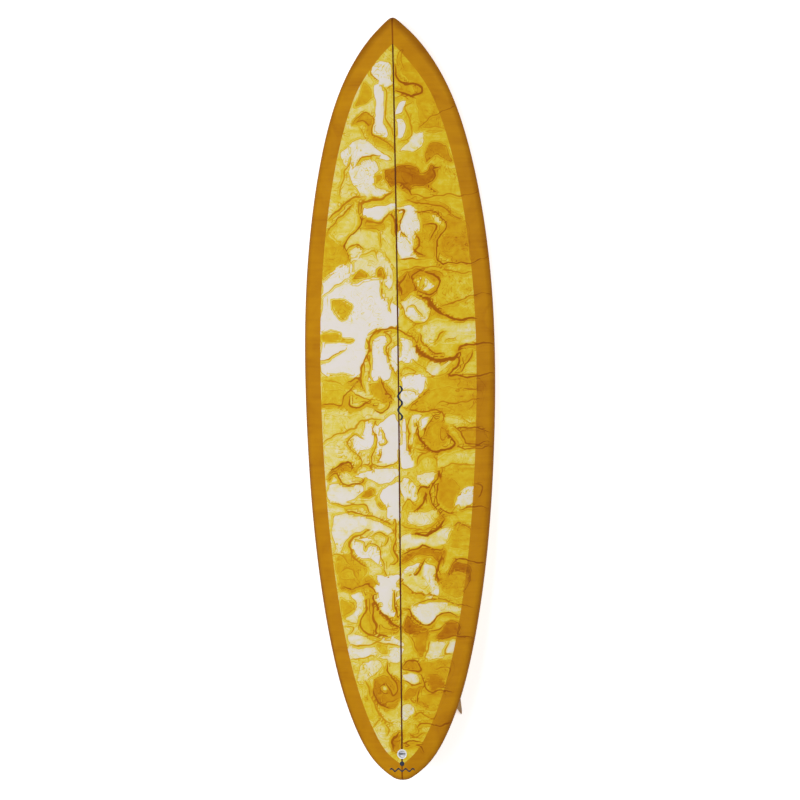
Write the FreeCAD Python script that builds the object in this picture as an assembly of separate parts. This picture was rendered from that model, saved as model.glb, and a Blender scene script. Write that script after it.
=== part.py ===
"""A mid-length surfboard with a rounded-pin tail and two removable fins.

A foam blank is glued up on a wooden stringer and glassed in tinted laminates. The deck holds a leash
plug, and the bottom holds two two-slot fin boxes whose fins are clamped by grub screws.

Everything is built in the board's own frame: x to the right rail, y from the tail tip to the nose tip
and z up from the lowest point of the bottom. Right-hand hardware is built once and mirrored. At the
end the board is set down on its fin tips and belly, as it lies on a floor. All lengths are millimetres.
"""

import FreeCAD, Part
import math
import os

from FreeCAD import Vector

# ---- driving dimensions of the hull ----
LENGTH = 2133.6
# Half widths of the outline, by distance from the tail tip.
OUTLINE = [
    (0.0, 0.0),
    (2.4, 16.0),
    (12.7, 34.5),
    (50.8, 77.5),
    (152.4, 136.0),
    (304.8, 185.5),
    (609.6, 238.5),
    (914.4, 263.0),
    (1219.2, 269.0),
    (1524.0, 250.0),
    (1828.8, 191.5),
    (1981.2, 131.0),
    (2082.8, 60.0),
    (2120.9, 20.5),
    (2130.6, 8.5),
    (2133.6, 0.0),
]
MAX_THICKNESS = 69.9
TIP_THICKNESS = 15.0
WIDE_POINT_OF_FOIL = 981.0
FOIL_POWER = 2.3
TIP_ROUNDING = 14.0
NOSE_ROCKER = 124.0
TAIL_ROCKER = 62.0
ROCKER_POWER = 2.2
RAIL_HEIGHT_NOSE = 0.42
RAIL_HEIGHT_TAIL = 0.30
DECK_CROWN_POWER = 2.3
BOTTOM_POWER_NOSE = 4.0
BOTTOM_POWER_TAIL = 9.0

# ---- skins and blank ----
CLOTH_THICKNESS = 0.6
SKIN_FADE = 6.0
DECK_LAP = 47.0
BOTTOM_LAP = 52.0
LAP_SHORTER_AT_TAIL = 3.0
LAP_POINT_HALF_WIDTH = 6.0
STRINGER_THICKNESS = 4.8
GLUE_LINE = 0.05

# ---- leash plug ----
PLUG_FROM_TAIL = 74.0
PLUG_FLANGE_RADIUS = 13.5
PLUG_FLANGE_THICKNESS = 2.4
PLUG_BODY_RADIUS = 12.4
PLUG_DEPTH = 16.0
PLUG_BORE_RADIUS = 10.0
PLUG_BORE_DEPTH = 13.0
PLUG_BORE_ROUND = 4.0
LEASH_BAR_RADIUS = 2.0
LEASH_BAR_DEPTH = 4.4
LEASH_BAR_LENGTH = 23.6

# ---- paper emblems under the gloss ----
EMBLEM_DEPTH = 0.3
DECK_WAVE = {"length": 97.0, "height": 11.0, "thickness": 6.0, "half_waves": 5}
DECK_WAVE_FROM_TAIL = 1058.0
DECK_WAVE_ASIDE = 4.0
TAIL_WAVE = {"length": 70.0, "height": 7.0, "thickness": 4.6, "half_waves": 7}
TAIL_WAVE_FROM_TAIL = 29.5
TAIL_DOT_RADIUS = 6.5
TAIL_DOT_FROM_TAIL = 47.0
WAVE_STEPS = 8

# ---- fins and their boxes, on the right-hand side ----
FIN_FROM_TAIL = 262.0
FIN_FROM_STRINGER = 138.0
FIN_CANT = 6.0
FIN_TOE_IN = 2.5
FIN_DEPTH = 134.0
FIN_ROOT = 10.0
FIN_LEADING_EDGE = [(69.0, 0.0), (43.0, 62.0), (2.0, 128.0), (-72.0, 134.0)]
FIN_TRAILING_EDGE = [(-69.0, 0.0), (-47.0, 46.0), (-74.0, 96.0), (-81.0, 134.0)]
FIN_BASE_THICKNESS = 8.6
FIN_TIP_THICKNESS = 2.6
FIN_EDGE_THICKNESS = 0.8
FIN_INNER_FACE = -3.4
FOIL_FULLNESS = 1.8
FOIL_TAPER = 0.9
FIN_GAP = 0.35
TAB_CENTRES = (-42.0, 42.0)
TAB_LENGTH = 22.0
TAB_THICKNESS = 6.3
TAB_DEPTH = 13.5
TAB_ROOT = 4.0
SLOT_CLEARANCE = 0.15
SLOT_FLOOR_CLEARANCE = 0.5
BOX_BARREL_RADIUS = 14.0
BOX_BRIDGE_WIDTH = 16.0
BOX_DEPTH = 16.5
SCREW_RADIUS = 2.45
SCREW_CLEARANCE = 0.05
SCREW_LENGTH = 7.4
SCREW_POINT_LENGTH = 2.6
SCREW_POINT_RADIUS = 1.1
SCREW_TILT = 30.0
SCREW_POINT_DEPTH = 8.2
SCREW_TO_TAB = 0.1
HEX_ACROSS_FLATS = 2.5
HEX_DEPTH = 3.0

# ---- the steepest that the board could stand on its fins, in degrees ----
STEEPEST_STANCE = 12.0

# ---- how finely the shapes are drawn, and how far cutters run past what they cut ----
HULL_STATIONS = 44
SECTION_POINTS = 8
LAP_STATIONS = 60
FIN_STATIONS = 9
FOIL_POINTS = 9
KNOT_POWER = 0.75
HALVINGS = 45
SLOPE_STEP = 5.0
FINEST_MESH = 0.05
PAST = 60.0
FAR = 3000.0


def smooth_step(low, high, value):
    """0 below low, 1 above high, and an S-curve between them."""
    share = min(1.0, max(0.0, (value - low) / (high - low)))
    return share * share * (3.0 - 2.0 * share)


def outline_curve():
    """The plan shape as one closed curve: up the right side from the tail tip, and back down the left."""
    points = [Vector(w, y, 0) for y, w in OUTLINE] + [Vector(-w, y, 0) for y, w in OUTLINE[-2:0:-1]]
    runs = [0.0]
    for i, point in enumerate(points):
        runs.append(runs[-1] + point.distanceToPoint(points[(i + 1) % len(points)]) ** KNOT_POWER)
    curve = Part.BSplineCurve()
    curve.interpolate(Points=points, PeriodicFlag=True, Parameters=runs)
    return curve, runs[len(OUTLINE) - 1]


OUTLINE_CURVE, NOSE_PARAMETER = outline_curve()


def half_width(y):
    """Half the board's width at a distance y from the tail tip."""
    if y <= 0.0 or y >= LENGTH:
        return 0.0
    low, high = 0.0, NOSE_PARAMETER
    for _ in range(HALVINGS):
        middle = (low + high) / 2
        if OUTLINE_CURVE.value(middle).y < y:
            low = middle
        else:
            high = middle
    return OUTLINE_CURVE.value(low).x


def bottom_height(y):
    """Rocker: the height of the bottom's centre line."""
    reach = LENGTH - WIDE_POINT_OF_FOIL
    if y >= WIDE_POINT_OF_FOIL:
        return NOSE_ROCKER * ((y - WIDE_POINT_OF_FOIL) / reach) ** ROCKER_POWER
    return TAIL_ROCKER * ((WIDE_POINT_OF_FOIL - y) / WIDE_POINT_OF_FOIL) ** ROCKER_POWER


def thickness(y):
    """Foil: the thickness at the stringer, which rounds off to nothing at both tips."""
    reach = LENGTH - WIDE_POINT_OF_FOIL if y >= WIDE_POINT_OF_FOIL else WIDE_POINT_OF_FOIL
    share = min(1.0, abs(y - WIDE_POINT_OF_FOIL) / reach)
    full = TIP_THICKNESS + (MAX_THICKNESS - TIP_THICKNESS) * (1.0 - share**FOIL_POWER)
    to_tip = max(0.0, min(y, LENGTH - y))
    if to_tip >= TIP_ROUNDING:
        return full
    return full * math.sqrt(1.0 - (1.0 - to_tip / TIP_ROUNDING) ** 2)


def rail_height(y):
    """The rail's widest point, as a share of the thickness."""
    share = smooth_step(0.0, 0.6 * LENGTH, y)
    return RAIL_HEIGHT_TAIL + (RAIL_HEIGHT_NOSE - RAIL_HEIGHT_TAIL) * share


def bottom_power(y):
    """How squarely the bottom meets the rail: high is a flat bottom with a tight edge."""
    share = smooth_step(0.0, 0.5 * LENGTH, y)
    return BOTTOM_POWER_TAIL + (BOTTOM_POWER_NOSE - BOTTOM_POWER_TAIL) * share


def surface_height(x, y, deck):
    """Height of the finished deck or bottom at x, y."""
    w, t = half_width(y), thickness(y)
    rail = rail_height(y) * t
    share = min(1.0, abs(x) / w)
    if deck:
        return bottom_height(y) + rail + (t - rail) * math.sqrt(1.0 - share**DECK_CROWN_POWER)
    return bottom_height(y) + rail * (1.0 - math.sqrt(1.0 - share ** bottom_power(y)))


def spline(points, parameters):
    """The cubic curve through points at the given parameters."""
    curve = Part.BSplineCurve()
    curve.interpolate(Points=points, Parameters=parameters)
    return curve


def section_points(y, inset, deck, turns):
    """Points across the deck or the bottom at y, for the hull taken in all round by inset."""
    source = (y - inset) * LENGTH / (LENGTH - 2.0 * inset)
    w, t = half_width(source), thickness(source)
    w -= inset * w / (w + SKIN_FADE)
    t -= 2.0 * inset * t / (t + SKIN_FADE)
    rail = rail_height(y) * t
    level = bottom_height(y) + (thickness(y) - t) / 2.0 + rail
    reach = t - rail if deck else -rail
    power = DECK_CROWN_POWER if deck else bottom_power(y)
    points = []
    for turn in turns:
        share = math.sin(turn)
        rise = reach * math.sqrt(max(0.0, 1.0 - abs(share) ** power))
        points.append(Vector(w * share, y, level + rise))
    return points


def skin_face(inset, deck):
    """The deck's or the bottom's surface, from rail to rail and tip to tip."""
    turns = [0.5 * math.pi * i / SECTION_POINTS for i in range(-SECTION_POINTS, SECTION_POINTS + 1)]
    runs = [math.pi * i / HULL_STATIONS for i in range(HULL_STATIONS + 1)]
    rows = []
    for run in runs[1:-1]:
        y = inset + (LENGTH - 2.0 * inset) * 0.5 * (1.0 - math.cos(run))
        across = spline(section_points(y, inset, deck, turns), turns)
        rows.append(across.getPoles())
    tail = Vector(0, inset, bottom_height(inset))
    nose = Vector(0, LENGTH - inset, bottom_height(LENGTH - inset))
    rows = [[tail] * across.NbPoles] + rows + [[nose] * across.NbPoles]
    lines = [spline(list(line), runs) for line in zip(*rows)]
    surface = Part.BSplineSurface()
    surface.buildFromPolesMultsKnots(
        [line.getPoles() for line in lines],
        across.getMultiplicities(),
        lines[0].getMultiplicities(),
        across.getKnots(),
        lines[0].getKnots(),
        False,
        False,
        3,
        3,
    )
    return surface.toShape()


def hull(inset):
    """The board's solid, taken in all round by inset."""
    shell = Part.makeShell([skin_face(inset, True), skin_face(inset, False)])
    shell.sewShape()
    solid = Part.makeSolid(shell)
    return solid if solid.Volume > 0 else solid.reversed()


# ---- cutters ----


def lap_prism(inset):
    """An upright prism whose wall follows the outline at a constant distance inside it."""
    points = [Vector(0, inset - LAP_SHORTER_AT_TAIL, -PAST)]
    for i in range(LAP_STATIONS + 1):
        run = NOSE_PARAMETER * 0.5 * (1.0 - math.cos(math.pi * i / LAP_STATIONS))
        along = OUTLINE_CURVE.tangent(run)[0]
        point = OUTLINE_CURVE.value(run) - Vector(along.y, -along.x, 0) * inset
        if point.x > LAP_POINT_HALF_WIDTH and point.y > points[-1].y:
            points.append(Vector(point.x, point.y, -PAST))
    before, last = points[-2:]
    points.append(last + (last - before) * (last.x / (before.x - last.x)))
    curve = Part.BSplineCurve()
    curve.interpolate(Points=points)
    right = curve.toShape()
    left = right.mirror(Vector(0, 0, 0), Vector(1, 0, 0))
    return Part.Face(Part.Wire([right, left])).extrude(Vector(0, 0, FAR))


def below_middle():
    """Everything under the sheet halfway up the board's thickness."""
    points = []
    for i in range(HULL_STATIONS + 1):
        y = LENGTH * i / HULL_STATIONS
        points.append(Vector(-FAR / 2, y, bottom_height(y) + thickness(y) / 2.0))
    curve = Part.BSplineCurve()
    curve.interpolate(Points=points)
    low_tail = Vector(-FAR / 2, 0, -PAST)
    low_nose = Vector(-FAR / 2, LENGTH, -PAST)
    edges = [
        curve.toShape(),
        Part.makeLine(points[-1], low_nose),
        Part.makeLine(low_nose, low_tail),
        Part.makeLine(low_tail, points[0]),
    ]
    return Part.Face(Part.Wire(edges)).extrude(Vector(FAR, 0, 0))


def stadium(length, width, bottom, top):
    """An upright block, length along y, with half-round ends."""
    radius = width / 2.0
    reach = length / 2.0 - radius
    base = Vector(-radius, -reach, bottom)
    block = Part.makeBox(width, 2.0 * reach, top - bottom, base)
    for end in (-reach, reach):
        block = block.fuse(Part.makeCylinder(radius, top - bottom, Vector(0, end, bottom)))
    return block.removeSplitter()


def mirrored(shape):
    """The left-hand copy of a right-hand shape."""
    return shape.mirror(Vector(0, 0, 0), Vector(1, 0, 0))


def placed(shape, placement):
    """A shape drawn in a local frame, moved to its place on the board."""
    return shape.transformed(placement.toMatrix())


# ---- leash plug ----


def plug_placement():
    """The plug's own frame: its origin on the deck at the stringer, and z out of the deck."""
    y = PLUG_FROM_TAIL
    rise = surface_height(0, y + SLOPE_STEP, True) - surface_height(0, y - SLOPE_STEP, True)
    pitch = math.degrees(math.atan2(rise, 2.0 * SLOPE_STEP))
    return FreeCAD.Placement(
        Vector(0, y, surface_height(0, y, True)), FreeCAD.Rotation(Vector(1, 0, 0), pitch)
    )


def plug_blank():
    """The plug's outside, standing proud of the deck until it is sanded flush."""
    flange = Part.makeCylinder(
        PLUG_FLANGE_RADIUS, PLUG_FLANGE_THICKNESS + PAST, Vector(0, 0, -PLUG_FLANGE_THICKNESS)
    )
    body = Part.makeCylinder(PLUG_BODY_RADIUS, PLUG_DEPTH, Vector(0, 0, -PLUG_DEPTH))
    return flange.fuse(body)


def plug_bore():
    """The cup's hollow, with a rounded floor."""
    floor = -PLUG_BORE_DEPTH
    flat = PLUG_BORE_RADIUS - PLUG_BORE_ROUND
    bend = PLUG_BORE_ROUND * math.sqrt(0.5)
    bend_top = Vector(PLUG_BORE_RADIUS, 0, floor + PLUG_BORE_ROUND)
    bend_middle = Vector(flat + bend, 0, floor + PLUG_BORE_ROUND - bend)
    edges = [
        Part.makeLine(Vector(0, 0, PAST), Vector(PLUG_BORE_RADIUS, 0, PAST)),
        Part.makeLine(Vector(PLUG_BORE_RADIUS, 0, PAST), bend_top),
        Part.Arc(bend_top, bend_middle, Vector(flat, 0, floor)).toShape(),
        Part.makeLine(Vector(flat, 0, floor), Vector(0, 0, floor)),
        Part.makeLine(Vector(0, 0, floor), Vector(0, 0, PAST)),
    ]
    return Part.Face(Part.Wire(edges)).revolve(Vector(0, 0, 0), Vector(0, 0, 1), 360)


def leash_bar():
    """The steel rod that the leash string is tied round, across the cup."""
    start = Vector(-LEASH_BAR_LENGTH / 2.0, 0, -LEASH_BAR_DEPTH)
    return Part.makeCylinder(LEASH_BAR_RADIUS, LEASH_BAR_LENGTH, start, Vector(1, 0, 0))


# ---- emblems ----


def wave_face(length, height, thickness, half_waves):
    """A flat wavy ribbon along y, centred on the origin."""
    sides = []
    for side in (-0.5, 0.5):
        points = []
        for i in range(half_waves * WAVE_STEPS + 1):
            share = i / (half_waves * WAVE_STEPS)
            swing = math.sin(math.pi * half_waves * share) * height / 2.0
            points.append(Vector(swing + side * thickness, (share - 0.5) * length, 0))
        sides.append(points)
    curves = []
    for points in sides:
        curve = Part.BSplineCurve()
        curve.interpolate(Points=points)
        curves.append(curve.toShape())
    ends = [Part.makeLine(sides[0][i], sides[1][i]) for i in (0, -1)]
    return Part.Face(Part.Wire([curves[0], ends[1], curves[1], ends[0]]))


def deck_inlay(face, outer):
    """A thin sheet set flush into the deck, with the plan shape of a flat face."""
    prism = face.extrude(Vector(0, 0, FAR))
    under = outer.translated(Vector(0, 0, -EMBLEM_DEPTH))
    sheet = prism.common(outer).cut(under)
    return max(sheet.Solids, key=lambda solid: solid.CenterOfMass.z)


def emblems(outer):
    """The three plain paper emblems on the deck."""
    on_deck = FreeCAD.Placement(
        Vector(DECK_WAVE_ASIDE, DECK_WAVE_FROM_TAIL, 0), FreeCAD.Rotation()
    )
    across = FreeCAD.Placement(
        Vector(0, TAIL_WAVE_FROM_TAIL, 0), FreeCAD.Rotation(Vector(0, 0, 1), 90)
    )
    dot = Part.Face(Part.Wire(Part.makeCircle(TAIL_DOT_RADIUS, Vector(0, TAIL_DOT_FROM_TAIL, 0))))
    return {
        "deck_emblem": deck_inlay(placed(wave_face(**DECK_WAVE), on_deck), outer),
        "tail_emblem_wave": deck_inlay(placed(wave_face(**TAIL_WAVE), across), outer),
        "tail_emblem_dot": deck_inlay(dot, outer),
    }


# ---- fins ----


def fin_placement():
    """The right fin's frame: origin on the bottom, x outboard, y forward and z into the board."""
    rise = bottom_height(FIN_FROM_TAIL + SLOPE_STEP) - bottom_height(FIN_FROM_TAIL - SLOPE_STEP)
    pitch = math.degrees(math.atan2(rise, 2.0 * SLOPE_STEP))
    toe = FreeCAD.Rotation(Vector(0, 0, 1), FIN_TOE_IN)
    rocker = FreeCAD.Rotation(Vector(1, 0, 0), pitch)
    cant = FreeCAD.Rotation(Vector(0, 1, 0), -FIN_CANT)
    height = surface_height(FIN_FROM_STRINGER, FIN_FROM_TAIL, False)
    base = Vector(FIN_FROM_STRINGER, FIN_FROM_TAIL, height)
    return FreeCAD.Placement(base, toe.multiply(rocker).multiply(cant))


def along_edge(poles, depth):
    """Where a fin's edge, a cubic curve through its poles, is at a depth below the board."""
    curve = Part.BezierCurve()
    curve.setPoles([Vector(y, down, 0) for y, down in poles])
    low, high = 0.0, 1.0
    for _ in range(HALVINGS):
        middle = (low + high) / 2
        if curve.value(middle).y < depth:
            low = middle
        else:
            high = middle
    return curve.value(low).x


def foil_section(depth):
    """One section of the blade: flat on the inner side and foiled on the outer side."""
    at = max(0.0, depth)
    front, rear = along_edge(FIN_LEADING_EDGE, at), along_edge(FIN_TRAILING_EDGE, at)
    thick = FIN_BASE_THICKNESS + (FIN_TIP_THICKNESS - FIN_BASE_THICKNESS) * at / FIN_DEPTH
    points = []
    for i in range(FOIL_POINTS + 1):
        share = 0.5 * (1.0 - math.cos(math.pi * i / FOIL_POINTS))
        bulge = FOIL_FULLNESS * math.sqrt(share) * (1.0 - share) ** FOIL_TAPER
        edge = FIN_EDGE_THICKNESS * min(1.0, 4.0 * share)
        x = FIN_INNER_FACE + edge + (thick - FIN_EDGE_THICKNESS) * min(1.0, bulge)
        points.append(Vector(x, front + (rear - front) * share, -depth))
    curve = Part.BSplineCurve()
    curve.interpolate(Points=points)
    heel = Vector(FIN_INNER_FACE, rear, -depth)
    return Part.Wire(
        [curve.toShape(), Part.makeLine(points[-1], heel), Part.makeLine(heel, points[0])]
    )


def fin(place, outer):
    """The right fin: a foiled blade with two tabs, in one moulding."""
    depths = [-FIN_ROOT, -FIN_ROOT / 2.0]
    for i in range(FIN_STATIONS + 1):
        depths.append(FIN_DEPTH * math.sin(0.5 * math.pi * i / FIN_STATIONS))
    blade = placed(Part.makeLoft([foil_section(depth) for depth in depths], True, False, False, 3), place)
    blade = blade.cut(outer.translated(Vector(0, 0, -FIN_GAP)))
    for centre in TAB_CENTRES:
        tab = stadium(TAB_LENGTH, TAB_THICKNESS, -TAB_ROOT, TAB_DEPTH)
        blade = blade.fuse(placed(tab.translated(Vector(0, centre, 0)), place))
    return blade.removeSplitter()


# ---- fin boxes and their screws ----


def box_blank():
    """A fin box's outside, standing proud of the bottom until it is sanded flush."""
    reach = TAB_CENTRES[1] - TAB_CENTRES[0]
    block = Part.makeBox(
        BOX_BRIDGE_WIDTH, reach, BOX_DEPTH + PAST, Vector(-BOX_BRIDGE_WIDTH / 2.0, TAB_CENTRES[0], -PAST)
    )
    for centre in TAB_CENTRES:
        barrel = Part.makeCylinder(BOX_BARREL_RADIUS, BOX_DEPTH + PAST, Vector(0, centre, -PAST))
        block = block.fuse(barrel)
    return block.removeSplitter()


def screw_placement(centre):
    """A grub screw's frame: origin at its point beside the tab, and z out towards its socket."""
    aside = TAB_THICKNESS / 2.0 + SCREW_TO_TAB + SCREW_POINT_RADIUS * math.cos(math.radians(SCREW_TILT))
    return FreeCAD.Placement(
        Vector(aside, centre, SCREW_POINT_DEPTH), FreeCAD.Rotation(Vector(0, 1, 0), 180.0 - SCREW_TILT)
    )


def grub_screw():
    """A grub screw on its own z axis, with a blunt point below and a hex socket on top."""
    point = Part.makeCone(SCREW_POINT_RADIUS, SCREW_RADIUS, SCREW_POINT_LENGTH)
    shank_length = SCREW_LENGTH - SCREW_POINT_LENGTH
    shank = Part.makeCylinder(SCREW_RADIUS, shank_length, Vector(0, 0, SCREW_POINT_LENGTH))
    corner = HEX_ACROSS_FLATS / math.sqrt(3.0)
    top = SCREW_LENGTH - HEX_DEPTH
    corners = []
    for i in range(7):
        turn = math.radians(60.0 * i)
        corners.append(Vector(corner * math.cos(turn), corner * math.sin(turn), top))
    socket = Part.Face(Part.makePolygon(corners)).extrude(Vector(0, 0, 2.0 * HEX_DEPTH))
    return point.fuse(shank).removeSplitter().cut(socket)


def fin_box(place, outer):
    """The right fin box, with a slot for each tab and a threaded hole for each screw."""
    box = placed(box_blank(), place).common(outer)
    for centre in TAB_CENTRES:
        slot = stadium(
            TAB_LENGTH + 2.0 * SLOT_CLEARANCE,
            TAB_THICKNESS + 2.0 * SLOT_CLEARANCE,
            -PAST,
            TAB_DEPTH + SLOT_FLOOR_CLEARANCE,
        )
        hole = Part.makeCylinder(SCREW_RADIUS + SCREW_CLEARANCE, PAST)
        box = box.cut(placed(slot.translated(Vector(0, centre, 0)), place))
        box = box.cut(placed(hole, place.multiply(screw_placement(centre))))
    return box


def fin_hardware(outer):
    """One fin with its box and screws on the right, and their mirror images on the left."""
    place = fin_placement()
    right = {"fin": fin(place, outer), "fin_box": fin_box(place, outer)}
    for name, centre in zip(("rear_screw", "front_screw"), TAB_CENTRES):
        right[name] = placed(grub_screw(), place.multiply(screw_placement(centre)))
    pieces = {}
    for name, shape in right.items():
        pieces["right_" + name] = shape
        pieces["left_" + name] = mirrored(shape)
    return pieces


# ---- the board ----


def blank_and_skins(outer, pockets, inlays):
    """The glued-up foam blank and the four laminate layers over it."""
    middle = hull(CLOTH_THICKNESS)
    core = hull(2.0 * CLOTH_THICKNESS)
    under = below_middle()
    deck_window = lap_prism(DECK_LAP).cut(under)
    bottom_window = lap_prism(BOTTOM_LAP).common(under)
    half = STRINGER_THICKNESS / 2.0
    slab = Part.makeBox(STRINGER_THICKNESS, FAR, FAR, Vector(-half, -PAST, -PAST))
    right_side = Part.makeBox(FAR, FAR, FAR, Vector(half, -PAST, -PAST))
    foam_right = core.common(right_side).cut(pockets)
    return {
        "foam_right": foam_right,
        "foam_left": mirrored(foam_right),
        "stringer": hull(2.0 * CLOTH_THICKNESS + GLUE_LINE).common(slab).cut(pockets),
        "deck_laminate": outer.cut(bottom_window).cut(middle).cut(pockets).cut(inlays),
        "bottom_hot_coat": outer.common(bottom_window).cut(middle).cut(pockets),
        "bottom_laminate": middle.cut(deck_window).cut(core).cut(pockets),
        "deck_patch": middle.common(deck_window).cut(core).cut(pockets),
    }


def stance(fin_points):
    """How the board is set down on its fin tips and belly, with its box centred on the origin."""
    keel = [Vector(0, y, bottom_height(y)) for y in range(int(LENGTH))]
    low, high = 0.0, STEEPEST_STANCE
    for _ in range(HALVINGS):
        pitch = (low + high) / 2
        turn = FreeCAD.Rotation(Vector(1, 0, 0), -pitch)
        belly = min(turn.multVec(point).z for point in keel)
        tips = min(turn.multVec(point).z for point in fin_points)
        if tips < belly:
            low = pitch
        else:
            high = pitch
    ends = [turn.multVec(Vector(0, 0, bottom_height(0))), turn.multVec(Vector(0, LENGTH, NOSE_ROCKER))]
    return FreeCAD.Placement(Vector(0, -(ends[0].y + ends[1].y) / 2.0, -belly), turn), pitch


def build():
    """Every piece by name, in the frame of the floor that the board stands on."""
    outer = hull(0.0)
    plug_place = plug_placement()
    plug = placed(plug_blank(), plug_place)
    bar = placed(leash_bar(), plug_place)
    box = placed(box_blank(), fin_placement())
    pockets = Part.makeCompound([plug, box, mirrored(box)])
    marks = emblems(outer)
    pieces = blank_and_skins(outer, pockets, Part.makeCompound(list(marks.values())))
    pieces.update(marks)
    pieces["leash_cup"] = plug.common(outer).cut(placed(plug_bore(), plug_place)).cut(bar)
    pieces["leash_bar"] = bar
    pieces.update(fin_hardware(outer))
    fin_points = pieces["right_fin"].tessellate(FINEST_MESH)[0]
    place, pitch = stance(fin_points)
    print("set down nose first by", round(pitch, 3), "degrees, origin at", place.Base)
    return {name: placed(shape, place) for name, shape in pieces.items()}


def main():
    """Write each piece to its own STEP file."""
    os.makedirs("parts", exist_ok=True)
    for name, shape in build().items():
        solids = shape.Solids
        print(name, len(solids), "solid", round(shape.Volume / 1000.0, 2), "cm3", shape.isValid())
        solids[0].exportStep("parts/" + name + ".step")


if __name__ == "__main__":
    main()
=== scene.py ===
# %% [markdown]
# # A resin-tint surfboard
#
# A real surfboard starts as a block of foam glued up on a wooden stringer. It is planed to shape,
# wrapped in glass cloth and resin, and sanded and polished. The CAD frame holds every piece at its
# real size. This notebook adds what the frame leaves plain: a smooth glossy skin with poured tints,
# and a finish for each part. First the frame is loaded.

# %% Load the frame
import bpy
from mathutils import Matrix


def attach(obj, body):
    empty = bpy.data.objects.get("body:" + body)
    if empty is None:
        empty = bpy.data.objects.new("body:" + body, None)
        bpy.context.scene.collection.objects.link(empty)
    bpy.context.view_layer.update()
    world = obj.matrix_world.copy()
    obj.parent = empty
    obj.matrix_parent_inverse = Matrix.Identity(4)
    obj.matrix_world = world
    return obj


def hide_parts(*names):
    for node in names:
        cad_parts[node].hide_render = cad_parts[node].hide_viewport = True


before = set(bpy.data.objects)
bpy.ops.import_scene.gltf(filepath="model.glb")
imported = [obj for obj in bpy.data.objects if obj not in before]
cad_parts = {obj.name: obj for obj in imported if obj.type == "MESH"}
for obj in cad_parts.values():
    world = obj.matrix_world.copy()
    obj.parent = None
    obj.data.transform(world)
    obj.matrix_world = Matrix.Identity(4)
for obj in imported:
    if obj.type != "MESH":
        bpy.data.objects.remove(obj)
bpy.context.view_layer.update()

import math

import bpy
import numpy as np
from mathutils import Matrix, Vector, kdtree

# %% [markdown]
# ## Small helpers
#
# Every step below needs the same few moves. An operator acts on all that is selected, and a freshly
# loaded frame is selected all over, so `pick` selects one object and nothing else. Colours are
# written as the hex codes that a paint chart would give, and one function turns them to the linear
# values that the shader wants.

# %% Selecting, applying and colouring
MM = 0.001


def pick(piece):
    """Select one object alone, and make it the active one."""
    bpy.ops.object.select_all(action="DESELECT")
    piece.select_set(True)
    bpy.context.view_layer.objects.active = piece


def add_modifier(piece, kind, **settings):
    """Put a modifier on a piece with these settings, and apply it at once."""
    pick(piece)
    modifier = piece.modifiers.new(kind.lower(), kind)
    for name, value in settings.items():
        setattr(modifier, name, value)
    bpy.ops.object.modifier_apply(modifier=modifier.name)


def linear(hex_colour):
    """A #rrggbb colour as linear red, green, blue and alpha."""
    channels = [int(hex_colour[i : i + 2], 16) / 255 for i in (1, 3, 5)]
    return [c / 12.92 if c <= 0.04045 else ((c + 0.055) / 1.055) ** 2.4 for c in channels] + [1.0]


print("amber is", [round(c, 3) for c in linear("#b57c02")])

# %% [markdown]
# ## The shape of the hull
#
# A shaper works from a plan outline, a rocker (the bottom's curve from nose to tail) and a foil (how
# the thickness runs). A mesh could be carved by hand from a cube, but the rails would come out lumpy
# under a gloss coat. Here the same three curves as in the frame give every point of the skin, so it
# lies exactly on the CAD shape. Lengths in this part are millimetres, with x to the right rail, y
# from the tail tip to the nose tip and z up.

# %% Driving dimensions
LENGTH = 2133.6
# Half widths of the outline, by distance from the tail tip.
OUTLINE = [
    (0.0, 0.0), (2.4, 16.0), (12.7, 34.5), (50.8, 77.5), (152.4, 136.0), (304.8, 185.5),
    (609.6, 238.5), (914.4, 263.0), (1219.2, 269.0), (1524.0, 250.0), (1828.8, 191.5),
    (1981.2, 131.0), (2082.8, 60.0), (2120.9, 20.5), (2130.6, 8.5), (2133.6, 0.0),
]
KNOT_POWER = 0.75
MAX_THICKNESS = 69.9
TIP_THICKNESS = 15.0
WIDE_POINT = 981.0
FOIL_POWER = 2.3
TIP_ROUNDING = 14.0
NOSE_ROCKER = 124.0
TAIL_ROCKER = 62.0
ROCKER_POWER = 2.2
RAIL_HEIGHT_TAIL, RAIL_HEIGHT_NOSE = 0.30, 0.42
DECK_POWER = 2.3
BOTTOM_POWER_TAIL, BOTTOM_POWER_NOSE = 9.0, 4.0
CLOTH = 0.6
DECK_LAP = 47.0
DECK_LAP_AT_NOSE = 57.0
BOTTOM_LAP = 52.0

# %% [markdown]
# The outline is one closed cubic spline through a few points, as a draughtsman's batten would run.
# Its slopes at the points come from a small set of linear equations, which numpy solves.

# %% The outline as a closed spline
FINE = 400


def closed_spline(points, samples):
    """A smooth closed curve through points, as samples to each span."""
    here = np.array(points, float)
    run = np.linalg.norm(np.roll(here, -1, 0) - here, axis=1) ** KNOT_POWER
    before = np.roll(run, 1)
    count = len(here)
    matrix = np.zeros((count, count))
    for i in range(count):
        matrix[i, i] = 2 * (before[i] + run[i])
        matrix[i, i - 1] += before[i]
        matrix[i, (i + 1) % count] += run[i]
    rise = (np.roll(here, -1, 0) - here) / run[:, None]
    bend = np.linalg.solve(matrix, 6 * (rise - np.roll(rise, 1, 0)))
    spans = []
    for i in range(count):
        u = np.linspace(0, run[i], samples, endpoint=False)[:, None]
        next_bend = bend[(i + 1) % count]
        slope = rise[i] - run[i] * (2 * bend[i] + next_bend) / 6
        cubic = (next_bend - bend[i]) / (6 * run[i])
        spans.append(here[i] + u * (slope + u * (bend[i] / 2 + u * cubic)))
    return np.concatenate(spans)


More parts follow.
